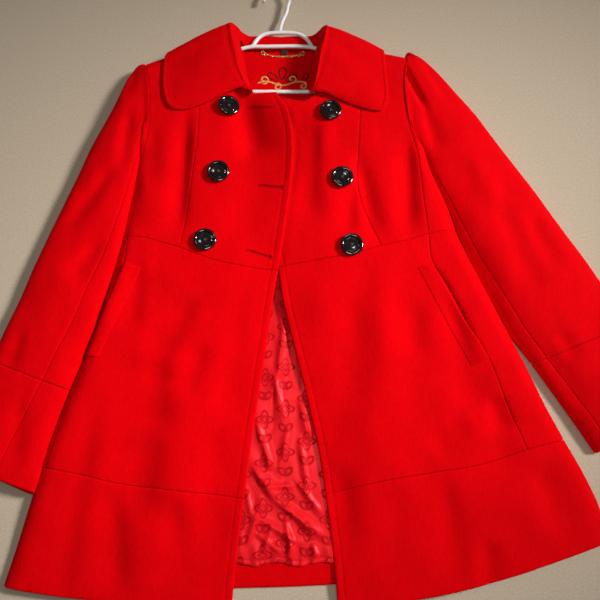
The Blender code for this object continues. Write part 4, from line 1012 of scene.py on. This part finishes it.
def add_tube(mesh, line, width, height, sides, closed=False):
    """A round or flattened tube along a line of points, into a mesh."""
    line = np.asarray(line, dtype=float)
    if closed:
        along = np.roll(line, -1, axis=0) - np.roll(line, 1, axis=0)
    else:
        along = np.gradient(line, axis=0)
    along /= np.linalg.norm(along, axis=1, keepdims=True)
    up = UPWARD - along * along[:, 2:3]
    up /= np.linalg.norm(up, axis=1, keepdims=True)
    beside = np.cross(along, up)
    angles = np.arange(sides) * 2.0 * math.pi / sides
    rings = [[mesh.verts.new(to_world(p + b * math.cos(a) * width / 2.0
                                      + u * math.sin(a) * height / 2.0))
              for a in angles] for p, b, u in zip(line, beside, up)]
    join_rings(mesh, rings, closed, caps=not closed)


def mesh_of(name, made):
    """What was built, as a mesh with its faces outwards."""
    bmesh.ops.recalc_face_normals(made, faces=made.faces)
    mesh = bpy.data.meshes.new(name)
    made.to_mesh(mesh)
    made.free()
    return mesh


def finish_mesh(name, made, finish, nodes, angle=48.0):
    """What was built, as a piece that rides on the part."""
    mesh = mesh_of(name, made)
    shade_mesh(mesh, finish, angle)
    return place_piece(name, mesh, nodes)


def curve_through(points, parts, closed=False):
    """A smooth line through points, in a number of parts for each step."""
    points = np.asarray(points, dtype=float)
    if closed:
        whole = refined(np.vstack([points[-1:], points, points[:2]]), parts)
        return whole[parts:parts * (len(points) + 1)]
    return refined(points, parts)


def at_height(points, height):
    """Plan points as places at one height."""
    return np.array([(x, y, height) for x, y in points])


plastic = mottled_finish(
    "white_plastic", (0.83, 0.83, 0.83), 0.28, 60.0, (0.80, 0.80, 0.80), (0.85, 0.85, 0.85),
    {"Coat Weight": 0.25, "Subsurface Weight": 0.06, "Subsurface Radius": (0.004, 0.004, 0.004)})
hook_turns = np.radians(np.linspace(*HOOK_ENDS, 40))
hook_bend = [(HOOK_CENTRE[0] + HOOK_RADIUS * math.cos(a), HOOK_CENTRE[1] + HOOK_RADIUS * math.sin(a))
             for a in hook_turns]
tubes = bmesh.new()
add_tube(tubes, curve_through(at_height(HANGER_FRAME, HANGER_HEIGHT), 8, closed=True),
         HANGER_TUBE, HANGER_TUBE, 20, closed=True)
add_tube(tubes, curve_through(at_height(HANGER_ARCH, HANGER_HEIGHT), 8), HANGER_TUBE, HANGER_TUBE, 20)
add_tube(tubes, curve_through(at_height((*HOOK_SHAFT, *hook_bend[::4]), HANGER_HEIGHT), 6),
         HOOK_TUBE, HOOK_TUBE, 20)
hanger = finish_mesh("hanger_moulding", tubes, plastic, ["hanger"])
fuse = hanger.modifiers.new("fused", "REMESH")
fuse.mode = "VOXEL"
fuse.voxel_size = HANGER_GRAIN * MM
fuse.use_smooth_shade = True
ease = hanger.modifiers.new("eased", "SMOOTH")
ease.factor = 0.5
ease.iterations = 6


# ---------------------------------------------------------------- the lining
# Shiny red satin with flowers and leaves woven into it in outline. It hangs loose inside the coat,
# turned up at its own hem above the coat's, and lies creased between the open fronts.
SATIN = 1.0
FACING_CLOTH = 1.6
LINING_TOP = 66.0
LINING_SIZE = (150.0, 430.0)
LINING_FALL = (-345.0, -318.0)   # y between which it comes down from the hem facing
LINING_FREE = (6.0, 34.0)        # from its side edges to where it creases freely
LINING_TUCK = 22.0               # how far it reaches under each front
LINING_STEP = 1.6
MOTIF = 0.030                    # size of one motif's cell, in metres
MOTIF_LINE = 0.075               # half width of its outline, as a share of that
LINING_HEM = across(table(
    "x y", (-130, -364), (-110, -362), (-92, -360), (-76, -363), (-60, -365), (-44, -362), (-30, -360),
    (-14, -363), (0, -365), (16, -362), (30, -360), (45, -361), (60, -358), (100, -356)))
LINING_CREASES = table(
    "top_x top_y foot_x foot_y left_reach right_reach depth",
    (-68, -234, -33, -282, 5, 9, -5.1), (-33, -282, 33, -329, 4.5, 8, -5.4),
    (-76, -262, -65, -305, 5, 4, -3.2), (-71, -337, -52, -279, 4, 6, -3.5),
    (-51, -350, -38, -318, 4, 5, -3.0), (-20, -305, -10, -350, 5, 4, -3.5),
    (-25, -41, -35, -143, 6, 9, -3.5), (-53, -199, -41, -240, 5, 7, -3.2),
    (0, -199, 13, -279, 6, 5, -3.0), (-81, -318, -83, -356, 4, 5, -2.7),
    (16, -337, 24, -354, 4, 4, -2.7), (-13, -337, -16, -356, 4, 4, -2.7),
    (0, -143, 14, -199, 6, 8, -3.0), (-63, -171, -53, -206, 4, 6, -3.2),
    (-32, 4, -23, -56, 5, 6, -2.7), (-6, -253, 30, -299, 5, 4, -3.0),
    (-57, -305, 0, -337, 4, 7, -3.0), (-40, -100, -20, -180, 7, 5, -2.7),
    (-16, -180, -30, -250, 6, 5, -2.7), (-45, -262, -10, -262, 4, 4, -2.2),
    (-62, -322, -20, -352, 3.5, 5, -2.4), (0, -310, 20, -330, 4, 4, -2.2),
    (-36, -120, -48, -190, 4, 6, 2.2), (-12, -60, -4, -130, 5, 5, 1.9))


def woven_motifs(finish):
    """How much of a point belongs to an outlined flower or pair of leaves of the woven pattern."""
    def calc(operation, *values):
        return calculate(finish, operation, *values)

    def nearest_of(lines):
        for line in lines[1:]:
            lines[0] = calc("MINIMUM", lines[0], line)
        return lines[0]

    place = add_node(finish, "ShaderNodeTexCoord")
    split = add_node(finish, "ShaderNodeSeparateXYZ")
    finish.node_tree.links.new(place.outputs["Object"], split.inputs[0])
    column = calc("ADD", calc("MULTIPLY", split.outputs[0], 1.0 / MOTIF), 100.0)
    row = calc("ADD", calc("MULTIPLY", split.outputs[1], 1.0 / MOTIF), 100.0)
    row = calc("ADD", row, calc("MULTIPLY", calc("FLOOR", column), 0.5))
    a = calc("SUBTRACT", calc("FRACT", column), 0.5)
    b = calc("SUBTRACT", calc("FRACT", row), 0.5)
    reach = calc("SQRT", calc("ADD", calc("MULTIPLY", a, a), calc("MULTIPLY", b, b)))
    petals = calc("COSINE", calc("MULTIPLY", calc("ARCTAN2", b, a), 4.0))
    flower = nearest_of([
        calc("ABSOLUTE", calc("SUBTRACT", reach, calc("ADD", calc("MULTIPLY", petals, wave), size)))
        for size, wave in ((0.31, 0.095), (0.13, 0.045))])
    sides = []
    for turn in (0.75, -0.75):
        along = calc("ADD", calc("MULTIPLY", a, math.cos(turn)), calc("MULTIPLY", b, math.sin(turn)))
        away = calc("SUBTRACT", calc("MULTIPLY", b, math.cos(turn)), calc("MULTIPLY", a, math.sin(turn)))
        along = calc("SUBTRACT", along, math.copysign(0.18, turn))
        away = calc("ADD", calc("ABSOLUTE", away), 0.13)
        far = calc("SQRT", calc("ADD", calc("MULTIPLY", along, along), calc("MULTIPLY", away, away)))
        sides.append(calc("ABSOLUTE", calc("SUBTRACT", far, 0.26)))
    leaves = nearest_of(sides)
    odd = calc("PINGPONG", calc("ADD", calc("FLOOR", column), calc("FLOOR", row)), 1.0)
    line = calc("ADD", calc("MULTIPLY", flower, odd),
                calc("MULTIPLY", leaves, calc("SUBTRACT", 1.0, odd)))
    return calc("SUBTRACT", 1.0, calc("MULTIPLY", calc("MINIMUM", line, MOTIF_LINE), 1.0 / MOTIF_LINE))


satin, satin_shader = new_finish("red_satin", (0.62, 0.006, 0.012), 0.30, specular=0.65)
satin_shader.inputs["Specular Tint"].default_value = (1.0, 0.10, 0.11, 1.0)
motif = woven_motifs(satin)
motif_edge = calculate(satin, "MULTIPLY", calculate(satin, "MINIMUM", motif, 0.42), 1.0 / 0.42)
satin.node_tree.links.new(
    blend_colours(satin, motif_edge, (0.72, 0.008, 0.014), (0.45, 0.001, 0.005), 0.25, 0.9),
    satin_shader.inputs["Base Color"])
satin.node_tree.links.new(
    calculate(satin, "ADD", calculate(satin, "MULTIPLY", motif_edge, 0.22), 0.33),
    satin_shader.inputs["Roughness"])
satin_threads = mottle(satin, 900.0, 2.0, stretch=(0.25, 1.0, 1.0))
satin_weave = add_bump(satin, satin_shader, satin_threads, 0.12, 0.0003)
add_bump(satin, satin_shader, motif_edge, 0.30, 0.0003, satin_weave)


def inner_left(y):
    """The left edge of what lies under the fronts, for a y."""
    return np.minimum(read(FRONT_EDGES, "left", "y", y), -30.0) - LINING_TUCK


def inner_right(y):
    """The right edge of what lies under the fronts, for a y."""
    return np.maximum(read(FRONT_EDGES, "right", "y", y), -30.0) + LINING_TUCK


def satin_height(x, y):
    """Height of the lining's face: flat under the fronts and creased between them."""
    facing = (FACING_CLOTH + 0.2) * (1.0 - smooth(*LINING_FALL, y))
    base = CLOTH + SEAM_GAP + SATIN + 0.6 + facing
    free = smooth(*LINING_FREE, x - inner_left(y)) * smooth(*LINING_FREE, inner_right(y) - x)
    creases = -fold_depth(LINING_CREASES, x, y)
    flutes = np.exp(-(y - LINING_HEM(x)) / 22.0) * 1.1 * (1.0 + np.sin(x / 3.1 + 1.6 * np.sin(x / 14.0)))
    ripples = 0.55 * (1.0 + waves(x * 2.6 + y * 0.5, y * 1.7)) + 0.25 * np.sin(x / 4.2 + y / 17.0)
    return base + free * np.maximum(creases + flutes + ripples, -0.3)


lining_x, lining_y = cloth_grid(inner_left, inner_right, LINING_HEM, level(LINING_TOP),
                                LINING_SIZE, LINING_STEP)
lining_face = np.stack([lining_x, lining_y, satin_height(lining_x, lining_y)], axis=-1)
lining_face = pressed(lining_face, ((0.9, 1.6), None, None, None), grooves=((0, 6.0),))
lay_cloth("lining", lining_face, satin, SATIN)


# ---------------------------------------------------------------- the facings inside the back
# The back's hem is turned up inside and pressed, and the back of the neck is faced with the wool.
# Both show in the openings of the coat.
HEM_FACING_TOP = -338.0
HEM_FACING_SIZE = (150.0, 52.0)
HEM_FACING_STEP = 3.0
NECK_FACING_FOOT = 290.0
NECK_FACING_SIZE = (130.0, 140.0)
NECK_FACING_STEP = 2.6
FACING_HEIGHT = CLOTH + SEAM_GAP + FACING_CLOTH
FACING_RIM = table("y left right", (430, -104, 38), (400, -100, 32), (350, -92, 22), (290, -80, 10))

facing_x, facing_y = cloth_grid(inner_left, inner_right, moved(across(BACK_HEM), 1.0),
                                level(HEM_FACING_TOP), HEM_FACING_SIZE, HEM_FACING_STEP)
facing_z = FACING_HEIGHT + 0.15 * waves(facing_x * 2.0, facing_y * 2.0)
lay_cloth("hem_facing", pressed(np.stack([facing_x, facing_y, facing_z], axis=-1),
                                ((1.2, 2.6), SEAM_ROLL, None, None)),
          wool, FACING_CLOTH)
facing_x, facing_y = cloth_grid(along_edge(FACING_RIM, "left"), along_edge(FACING_RIM, "right"),
                                level(NECK_FACING_FOOT), moved(across(BACK_TOP), -1.0),
                                NECK_FACING_SIZE, NECK_FACING_STEP)


def neck_facing_height(x, y):
    """Height of the back neck facing's face, with a few soft waves."""
    return back_height(y) + FACING_HEIGHT + 0.5 * waves(x * 1.5, y * 1.5) + 0.5


facing_z = neck_facing_height(facing_x, facing_y)
lay_cloth("back_neck_facing", np.stack([facing_x, facing_y, facing_z], axis=-1), wool,
          FACING_CLOTH)


# ---------------------------------------------------------------- the sprig embroidered at the neck
# A scroll in gold thread with small leaves outlined in black, worked in satin stitch on the facing.
# Each line is a close row of short threads laid across it.
STITCH_PITCH = 0.62              # from one thread to the next, and a thread's thickness
SCROLL_WIDTH = 2.9
LEAF_WIDTH = 2.3


def walk(line, pitch):
    """Evenly spaced places on a line, and its direction at each."""
    line = np.asarray(line, dtype=float)
    arc = np.concatenate([[0.0], np.cumsum(np.linalg.norm(np.diff(line, axis=0), axis=1))])
    places = np.arange(pitch / 2.0, arc[-1], pitch)
    points = np.stack([np.interp(places, arc, line[:, k]) for k in range(line.shape[1])], axis=-1)
    ways = np.gradient(points, axis=0)
    return points, ways / np.linalg.norm(ways, axis=1, keepdims=True)


def add_thread(mesh, middle, way, up, length, thick):
    """One visible thread of a stitch: a short rounded bar that dips into the cloth at both ends."""
    beside = np.cross(way, up)
    rings = []
    for t in (-1.0, -0.72, 0.0, 0.72, 1.0):
        girth = thick / 2.0 * (0.45 if abs(t) == 1.0 else 1.0)
        centre = middle + way * (t * length / 2.0) + up * (thick * (0.42 - 0.75 * t * t))
        rings.append([mesh.verts.new(to_world(
            centre + beside * math.cos(a) * girth + up * math.sin(a) * girth))
            for a in (0.4, 1.57, 2.74, 3.93, 5.5)])
    join_rings(mesh, rings, caps=True)


def spiral(x, y, radius, start, sweep, shrink):
    """A curl round a middle, drawn in."""
    turns = np.linspace(0.0, 1.0, 40)
    angle = np.radians(start + sweep * turns)
    r = radius * (1.0 - shrink * turns)
    return np.stack([x + r * np.cos(angle), y + r * np.sin(angle)], axis=-1)


def leaf(x, y, length, width, turn):
    """A pointed leaf's outline."""
    t = np.linspace(0.0, 2.0 * math.pi, 60)
    along = (1.0 - np.cos(t)) / 2.0 * length
    away = np.sin(t) * np.abs(np.sin(t / 2.0))**0.6 * width / 2.0
    angle = math.radians(turn)
    return np.stack([x + along * math.cos(angle) - away * math.sin(angle),
                     y + along * math.sin(angle) + away * math.cos(angle)], axis=-1)


def add_sewing(name, made, finish):
    """Stitches, or the dark sheets painted as shade in the buttonhole cuts that they edge, as a piece
    that rides with the cloth.
    """
    return finish_mesh(name, made, finish, [], 70.0)


def embroider(name, lines, width, finish):
    """Satin stitch along lines on the neck facing."""
    made = bmesh.new()
    for line in lines:
        line = np.column_stack([line, neck_facing_height(line[:, 0], line[:, 1])])
        points, ways = walk(line, STITCH_PITCH)
        for i, (point, way) in enumerate(zip(points, ways)):
            slant = np.array([-way[1] + 0.35 * way[0], way[0] + 0.35 * way[1], 0.0])
            slant /= np.linalg.norm(slant)
            end = min(i, len(points) - 1 - i) * STITCH_PITCH
            size = width * (0.45 + 0.55 * float(smooth(0.0, 4.0, end)))
            add_thread(made, point, slant, UPWARD, size, STITCH_PITCH)
    return add_sewing(name, made, finish)


gold_thread = mottled_finish("gold_thread", (0.62, 0.36, 0.05), 0.38, 700.0, (0.50, 0.27, 0.03),
                             (0.75, 0.48, 0.10), {"Sheen Weight": 0.3}, specular=0.6)
black_thread = mottled_finish("black_thread", (0.010, 0.006, 0.007), 0.7, 700.0,
                              (0.005, 0.003, 0.004), (0.016, 0.008, 0.010), specular=0.15)
stem_x = np.linspace(-70.0, 12.0, 60)
stem = np.stack([stem_x, 371.0 + 3.5 * np.sin((stem_x + 70.0) / 82.0 * 3.0 * math.pi)], axis=-1)
embroider("neck_scroll", (
    stem, spiral(-59.0, 378.0, 8.0, -110.0, 420.0, 0.72), spiral(-37.0, 364.5, 7.0, 100.0, -400.0, 0.72),
    spiral(-13.0, 379.0, 7.0, -80.0, 400.0, 0.72), spiral(5.0, 366.0, 6.0, 90.0, -390.0, 0.70)),
    SCROLL_WIDTH, gold_thread)
embroider("neck_leaves", (
    leaf(-30.0, 378.0, 23.0, 14.0, 84.0), leaf(-36.0, 376.0, 21.0, 12.0, 140.0),
    leaf(-24.0, 376.0, 21.0, 12.0, 28.0), leaf(6.0, 376.0, 15.0, 9.0, 66.0)),
    LEAF_WIDTH, black_thread)


# ---------------------------------------------------------------- the pockets
# A welt of the wool stands along each slanting pocket in the skirt, sewn down at its two ends and
# along its inner side; the pocket opens under its outer side.
POCKET_CORNERS = {
    "left": ((-259, 56), (-235, 49.5), (-289, -84), (-307, -83)),
    "right": ((173, 50), (196, 56), (270, -86), (245, -98))}
WELT_LIFT = (0.9, 3.4)           # height over the skirt at its sewn side and at its open side
WELT_GAPE = 1.6                  # how much higher its open side stands halfway down
WELT_SIZE = (24.0, 145.0)
WELT_STEPS = (1.9, 2.5)
WELT_ROLLS = ((1.5, 2.4), (1.6, 2.6))            # at its sewn edges and at its open one

for welt_side, corners in POCKET_CORNERS.items():
    top_a, top_b, foot_b, foot_a = (np.array(corner, dtype=float) for corner in corners)
    u, v = np.meshgrid(*(spaced(size, step) / size for size, step in zip(WELT_SIZE, WELT_STEPS)))
    plan = (foot_a * ((1 - u) * (1 - v))[..., None] + foot_b * (u * (1 - v))[..., None]
            + top_a * ((1 - u) * v)[..., None] + top_b * (u * v)[..., None])
    opening = 1.0 - u if welt_side == "left" else u
    gape = WELT_GAPE * smooth(0.35, 1.0, opening) * np.sin(math.pi * v)**0.6
    stand = WELT_LIFT[0] + (WELT_LIFT[1] - WELT_LIFT[0]) * smooth(0.0, 0.75, opening)
    welt = above_front(welt_side, plan[..., 0], plan[..., 1], stand + gape)
    sewn, open_edge = WELT_ROLLS
    sides = (open_edge, sewn) if welt_side == "left" else (sewn, open_edge)
    welt = pressed(welt, (sewn, sewn, *sides))
    lay_cloth("pocket_welt_" + welt_side, welt, wool)


# ---------------------------------------------------------------- the topstitching
# Rows of single stitches in red thread hold the edges flat: one down each front, one round the
# collar, and the lockstitched edges of the three buttonholes in the left front.
STITCH_LENGTH = 3.1
STITCH_GAP = 0.7
THREAD = 0.5
STITCHED_REACH = (-408.0, 322.0)
HOLE_STITCH = (0.75, 2.3, 0.62)  # a buttonhole's stitches: from one to the next, length, thread
BAR_STITCH = (0.55, 4.6, 0.7)    # the same at its bar
HOLE_HALF = 1.25                 # half the width of a buttonhole
HOLE_ROUND = 2.4                 # radius of its round end
BUTTONHOLES = (                  # one end, the other, and how far it gapes
    ((-78.7, 316.9), (-44.0, 308.0), 0.04), ((-62.3, 180.4), (-25.8, 173.9), 0.62),
    ((-77.6, 76.8), (-42.8, 65.9), 0.62))

thread = mottled_finish("red_thread", (0.50, 0.0008, 0.004), 0.7, 800.0, (0.42, 0.0005, 0.003),
                        (0.58, 0.0010, 0.005), {"Specular Tint": (1.0, 0.06, 0.07, 1.0)},
                        specular=0.15)


def add_stitches(mesh, line, normal_at):
    """A row of single stitches along a line of points."""
    points, ways = walk(line, STITCH_LENGTH + STITCH_GAP)
    for point, way in zip(points, ways):
        up = normal_at(point)
        up = up - way * np.dot(up, way)
        add_thread(mesh, point, way, up / np.linalg.norm(up), STITCH_LENGTH, THREAD)


def front_normal(side):
    """The direction out of a front at a point."""
    def at(point):
        low, high = (above_front(side, point[0], point[1], lift) for lift in (0.0, 1.0))
        return high - low
    return at


for stitched_side in ("left", "right"):
    line_y = np.linspace(*STITCHED_REACH, 500)
    line_x = read(FRONT_EDGES, stitched_side, "y", line_y) + OUTWARD[stitched_side] * STITCH_LINE
    line_sunk = above_front(stitched_side, line_x, line_y, -GROOVE[0])
    row_of_stitches = bmesh.new()
    add_stitches(row_of_stitches, line_sunk, front_normal(stitched_side))
    add_sewing("front_topstitching_" + stitched_side, row_of_stitches, thread)

collar_arc = arc_from(collar_face, 1)
stitch_column = int(np.argmin(np.abs(np.median(collar_arc, axis=0) - COLLAR_STITCH)))
collar_line = collar_face[:, stitch_column]
collar_line = collar_line[collar_face[:, 0, 2] > 24.0]
collar_stitches = bmesh.new()
for collar_half in (collar_line[:, 0] < COLLAR_MIDDLE, collar_line[:, 0] > COLLAR_MIDDLE):
    add_stitches(collar_stitches, collar_line[collar_half], lambda point: UPWARD)
add_sewing("collar_topstitching", collar_stitches, thread)

holes = bmesh.new()
shade_sheets = bmesh.new()
for start, end, gaping in BUTTONHOLES:
    start, end = np.array(start), np.array(end)
    way = (end - start) / np.linalg.norm(end - start)
    aside = np.array([-way[1], way[0]])
    length = float(np.linalg.norm(end - start))
    outline = [(t * (length - 3.4), HOLE_HALF) for t in np.linspace(0.0, 1.0, 34)]
    outline += [(length - 1.6 + HOLE_ROUND * math.cos(angle), HOLE_ROUND * math.sin(angle))
                for angle in np.linspace(math.radians(128.0), math.radians(-128.0), 12)]
    outline += [(t * (length - 3.4), -HOLE_HALF) for t in np.linspace(1.0, 0.0, 34)]
    ring = np.array([start + way * a + aside * b for a, b in outline])
    ring = above_front("left", ring[:, 0], ring[:, 1], 0.05)
    points, ways = walk(ring, HOLE_STITCH[0])
    up_at = front_normal("left")
    for point, along in zip(points, ways):
        up = up_at(point)
        across_it = np.cross(up, along)
        add_thread(holes, point, across_it / np.linalg.norm(across_it), up, *HOLE_STITCH[1:])
    bar = above_front("left", *(start - way * 0.8), 0.25)
    for k in range(4):
        add_thread(holes, bar + np.array([way[0], way[1], 0.0]) * BAR_STITCH[0] * k,
                   np.array([aside[0], aside[1], 0.0]), up_at(bar), *BAR_STITCH[1:])
    # A flat near-black sheet just over the cloth in each buttonhole: painted shade where the cut opens.
    slit = np.array([start + way * a + aside * b * gaping for a, b in outline])
    face = above_front("left", slit[:, 0], slit[:, 1], 0.10)
    shade_sheets.faces.new([shade_sheets.verts.new(to_world(point)) for point in face])
add_sewing("buttonhole_stitching", holes, thread)
# The sheets' dark colour is painted shade in the buttonhole cuts, not a colour of the cloth.
shade_sheet_finish = mottled_finish("buttonhole_painted_shade", (0.05, 0.0004, 0.001), 0.95, 500.0,
                             (0.035, 0.0003, 0.0008), (0.065, 0.0005, 0.0012), specular=0.05)
add_sewing("buttonhole_shade_sheets", shade_sheets, shade_sheet_finish)


# ---------------------------------------------------------------- the buttons
# Six large black buttons turned from resin: a thick rounded rim with a groove inside it, a dished
# middle and four holes, sewn on with crossed thread on a short shank.
BUTTON_SHANK = 0.8
BUTTON_SIDES = 112
HOLE_RADIUS = 1.35
HOLE_PLACE = 3.0
BUTTON_REST = 9.0                # half the width of cloth that a button rests on
TWIST = (0.72, 0.6)              # width and thickness of the crossed threads
TWIST_SPACING = 0.60
TWIST_HEIGHT = 3.55
TWIST_SINK = 1.6                 # how far their ends dip into the holes
TWIST_CROSS = 0.3                # how much higher the upper ones lie
SHANK_RADIUS = 1.5
SHANK_THREAD = 0.6
BUTTON_PLACES = table(
    "left_x left_y right_x right_y spin",
    (-113, 312.5, 48, 303, 0.3), (-125, 200, 64, 190.5, 0.9), (-142, 91.5, 77, 83.5, 1.25))
BUTTON_PROFILE = (
    (0.0, 2.9), (2.4, 2.9), (5.2, 3.0), (7.8, 3.25), (9.4, 3.6), (10.3, 3.75), (10.75, 3.55), (11.0, 3.1),
    (11.35, 3.05), (11.7, 3.5), (12.1, 4.5), (12.7, 5.15), (13.6, 5.45), (14.8, 5.45), (15.9, 5.2),
    (16.7, 4.7), (17.1, 4.0), (17.2, 3.1), (17.1, 2.1), (16.5, 1.3), (15.3, 0.7), (13.0, 0.35),
    (8.0, 0.1), (0.0, 0.0))

resin = mottled_finish("dark_resin", (0.004, 0.003, 0.003), 0.12, 160.0, (0.003, 0.002, 0.002),
                       (0.010, 0.006, 0.006), {"Coat Weight": 0.9, "Coat Roughness": 0.05},
                       detail=3.0, specular=0.40)
button_twist = mottled_finish("button_twist", (0.030, 0.021, 0.023), 0.55, 900.0,
                              (0.020, 0.014, 0.015), (0.042, 0.030, 0.032), specular=0.4)


def turned_button():
    """The button's mesh, with its holes cut through."""
    made = bmesh.new()
    rings = []
    for r, z in BUTTON_PROFILE[1:-1]:
        rings.append([made.verts.new((r * MM * math.cos(a), r * MM * math.sin(a), z * MM))
                      for a in np.arange(BUTTON_SIDES) * 2.0 * math.pi / BUTTON_SIDES])
    join_rings(made, rings, turned_over=True)
    for ring, z in ((rings[0], BUTTON_PROFILE[0][1]), (rings[-1], 0.0)):
        middle = made.verts.new((0.0, 0.0, z * MM))
        for k in range(BUTTON_SIDES):
            made.faces.new((ring[k], ring[(k + 1) % BUTTON_SIDES], middle))
    blank = bpy.data.objects.new("button_blank", mesh_of("button_blank", made))
    bpy.context.scene.collection.objects.link(blank)
    drill = bmesh.new()
    for k in range(4):
        angle = math.pi / 4.0 + k * math.pi / 2.0
        place = np.array([math.cos(angle), math.sin(angle), 0.0]) * HOLE_PLACE * MM
        shaft = bmesh.ops.create_cone(drill, cap_ends=True, segments=24, radius1=HOLE_RADIUS * MM,
                                      radius2=HOLE_RADIUS * MM, depth=12.0 * MM)
        bmesh.ops.translate(drill, verts=shaft["verts"], vec=place)
    bits = bpy.data.meshes.new("drill")
    drill.to_mesh(bits)
    drill.free()
    cutter = bpy.data.objects.new("drill", bits)
    bpy.context.scene.collection.objects.link(cutter)
    cut = blank.modifiers.new("holes", "BOOLEAN")
    cut.operation = "DIFFERENCE"
    cut.object = cutter
    cut.solver = "EXACT"
    graph = bpy.context.evaluated_depsgraph_get()
    mesh = bpy.data.meshes.new_from_object(blank.evaluated_get(graph))
    bpy.data.objects.remove(blank)
    bpy.data.objects.remove(cutter)
    mesh.name = "turned_button"
    mesh.materials.clear()
    shade_mesh(mesh, resin, 38.0)
    return mesh


def button_thread():
    """The thread through the four holes, and the shank under the button."""
    made = bmesh.new()
    for way in ((1.0, 1.0), (1.0, -1.0)):
        way = np.array([way[0], way[1], 0.0]) / math.sqrt(2.0)
        beside = np.array([-way[1], way[0], 0.0])
        for k in (-1.1, -0.37, 0.37, 1.1):
            cross = TWIST_CROSS if way[1] > 0 else 0.0
            line = [beside * TWIST_SPACING * k + way * t * HOLE_PLACE * 1.08
                    + np.array([0.0, 0.0, TWIST_HEIGHT - TWIST_SINK * abs(t)**6 + cross])
                    for t in np.linspace(-1.0, 1.0, 17)]
            add_tube(made, np.array(line) + (CENTRE[0], CENTRE[1], 0.0), *TWIST, 8)
    shank = [np.array([CENTRE[0], CENTRE[1], z]) for z in (-BUTTON_SHANK - 0.4, 0.0, 2.0)]
    up = [p + np.array([0.0, 0.001 * k, 0.0]) for k, p in enumerate(shank)]
    for k in range(8):
        angle = k * math.pi / 4.0
        shift = np.array([math.cos(angle), math.sin(angle), 0.0]) * SHANK_RADIUS
        side = np.array([-math.sin(angle), math.cos(angle), 0.0])
        rings = [[made.verts.new(to_world(p + shift + side * SHANK_THREAD * math.cos(a)
                                          + shift / SHANK_RADIUS * SHANK_THREAD * math.sin(a)))
                  for a in np.arange(6) * math.pi / 3.0] for p in up]
        join_rings(made, rings, caps=True)
    mesh = mesh_of("button_thread", made)
    mesh.materials.append(button_twist)
    mesh.shade_smooth()
    return mesh


button_mesh = turned_button()
thread_mesh = button_thread()
for button_side in ("left", "right"):
    for number in range(3):
        x, y = BUTTON_PLACES[button_side + "_x"][number], BUTTON_PLACES[button_side + "_y"][number]
        rise_x, rise_y = front_slopes(button_side, x, y, BUTTON_REST)
        lift = BUTTON_SHANK + SEAM_GAP * 2.0
        seat = to_world((x - rise_x * lift, y - rise_y * lift, front_height(button_side, x, y) + lift))
        turn = (math.atan(rise_y), -math.atan(rise_x),
                float(BUTTON_PLACES["spin"][number]) + OUTWARD[button_side] * 0.2)
        label = "button_" + button_side + "_" + str(number + 1)
        place_piece(label + "_turned", button_mesh, [label], seat, turn)
        place_piece(label + "_thread", thread_mesh, [], seat, turn)


# ---------------------------------------------------------------- the chain and its tab
# The loop the coat is hung by: a gold chain of oval links, held to the neck facing by a pair of
# sewn-on rings at each end, with a small black woven tab folded over its middle.
LINK_LENGTH = 4.6
LINK_WIDTH = 3.0
LINK_WIRE = 0.85
CHAIN_RINGS = ((-62.0, 427.5, 9.0), (-57.5, 424.0, 6.5), (4.0, 426.5, 9.0), (-1.0, 423.5, 6.5))
RING_WIRE = 1.25
TAB_SPAN = (-31.5, -20.5)        # x of its sides
TAB_REACH = (423.5, 432.5)       # y of its foot and its top
CHAIN_LINE = ((-62, 428), (-52, 423), (-40, 421), (-26, 420.5), (-14, 421), (-4, 423), (4, 427))
CHAIN_HEIGHT = COLLAR_LIFT + CLOTH + SEAM_GAP + FACING_CLOTH + SEAM_GAP + 1.3

brass = mottled_finish("gold_chain", (0.85, 0.58, 0.20), 0.24, 400.0, (0.74, 0.46, 0.14),
                       (0.92, 0.66, 0.26), metallic=1.0)


def add_link(mesh, middle, way, up, length, width, wire):
    """One oval link of round wire."""
    beside = np.cross(up, way)
    centres, outs = [], []
    for a in np.arange(20) * 2.0 * math.pi / 20.0:
        centres.append(middle + way * (length - wire) / 2.0 * math.cos(a)
                       + beside * (width - wire) / 2.0 * math.sin(a))
        outs.append(way * math.cos(a) + beside * math.sin(a))
    rings = [[mesh.verts.new(to_world(c + (o * math.cos(b) + up * math.sin(b)) * wire / 2.0))
              for b in np.arange(8) * math.pi / 4.0] for c, o in zip(centres, outs)]
    join_rings(mesh, rings, closed=True, turned_over=True)


chain = bmesh.new()
chain_points, chain_ways = walk(curve_through(at_height(CHAIN_LINE, CHAIN_HEIGHT), 8), LINK_LENGTH - 1.9)
for i, (point, way) in enumerate(zip(chain_points, chain_ways)):
    lean = math.radians(38.0 if i % 2 else -38.0)
    beside = np.array([-way[1], way[0], 0.0])
    add_link(chain, point, way, UPWARD * math.cos(lean) + beside * math.sin(lean),
             LINK_LENGTH, LINK_WIDTH, LINK_WIRE)
for x, y, size in CHAIN_RINGS:
    add_link(chain, np.array([x, y, CHAIN_HEIGHT]), np.array([0.8, 0.6, 0.0]),
             np.array([0.06, -0.08, 1.0]) / math.sqrt(1.01), size, size * 0.8, RING_WIRE)
finish_mesh("chain_links", chain, brass, ["hanging_chain"])

tape, tape_shader = new_finish("black_tape", (0.02, 0.02, 0.02), 0.8, specular=0.25)
tape_weave = mottle(tape, 900.0, 1.0, stretch=(1.0, 3.0, 1.0))
tape.node_tree.links.new(blend_colours(tape, tape_weave, (0.010, 0.010, 0.011), (0.032, 0.031, 0.033)),
                         tape_shader.inputs["Base Color"])
add_bump(tape, tape_shader, tape_weave, 0.5, 0.0003)
tab_x, tab_y = np.meshgrid(np.linspace(*TAB_SPAN, 16), np.linspace(*TAB_REACH, 14))
tab_z = (CHAIN_HEIGHT + 0.75 + 0.5 * np.exp(-((tab_y - 425.0) / 2.2)**2)
         - 0.02 * (tab_x + 26.0)**2 * 0.3)
tab_face = pressed(np.stack([tab_x, tab_y, tab_z], axis=-1), ((0.8, 1.2),) * 4)
lay_cloth("hanging_tab", tab_face, tape, 1.0, turned=1.0)
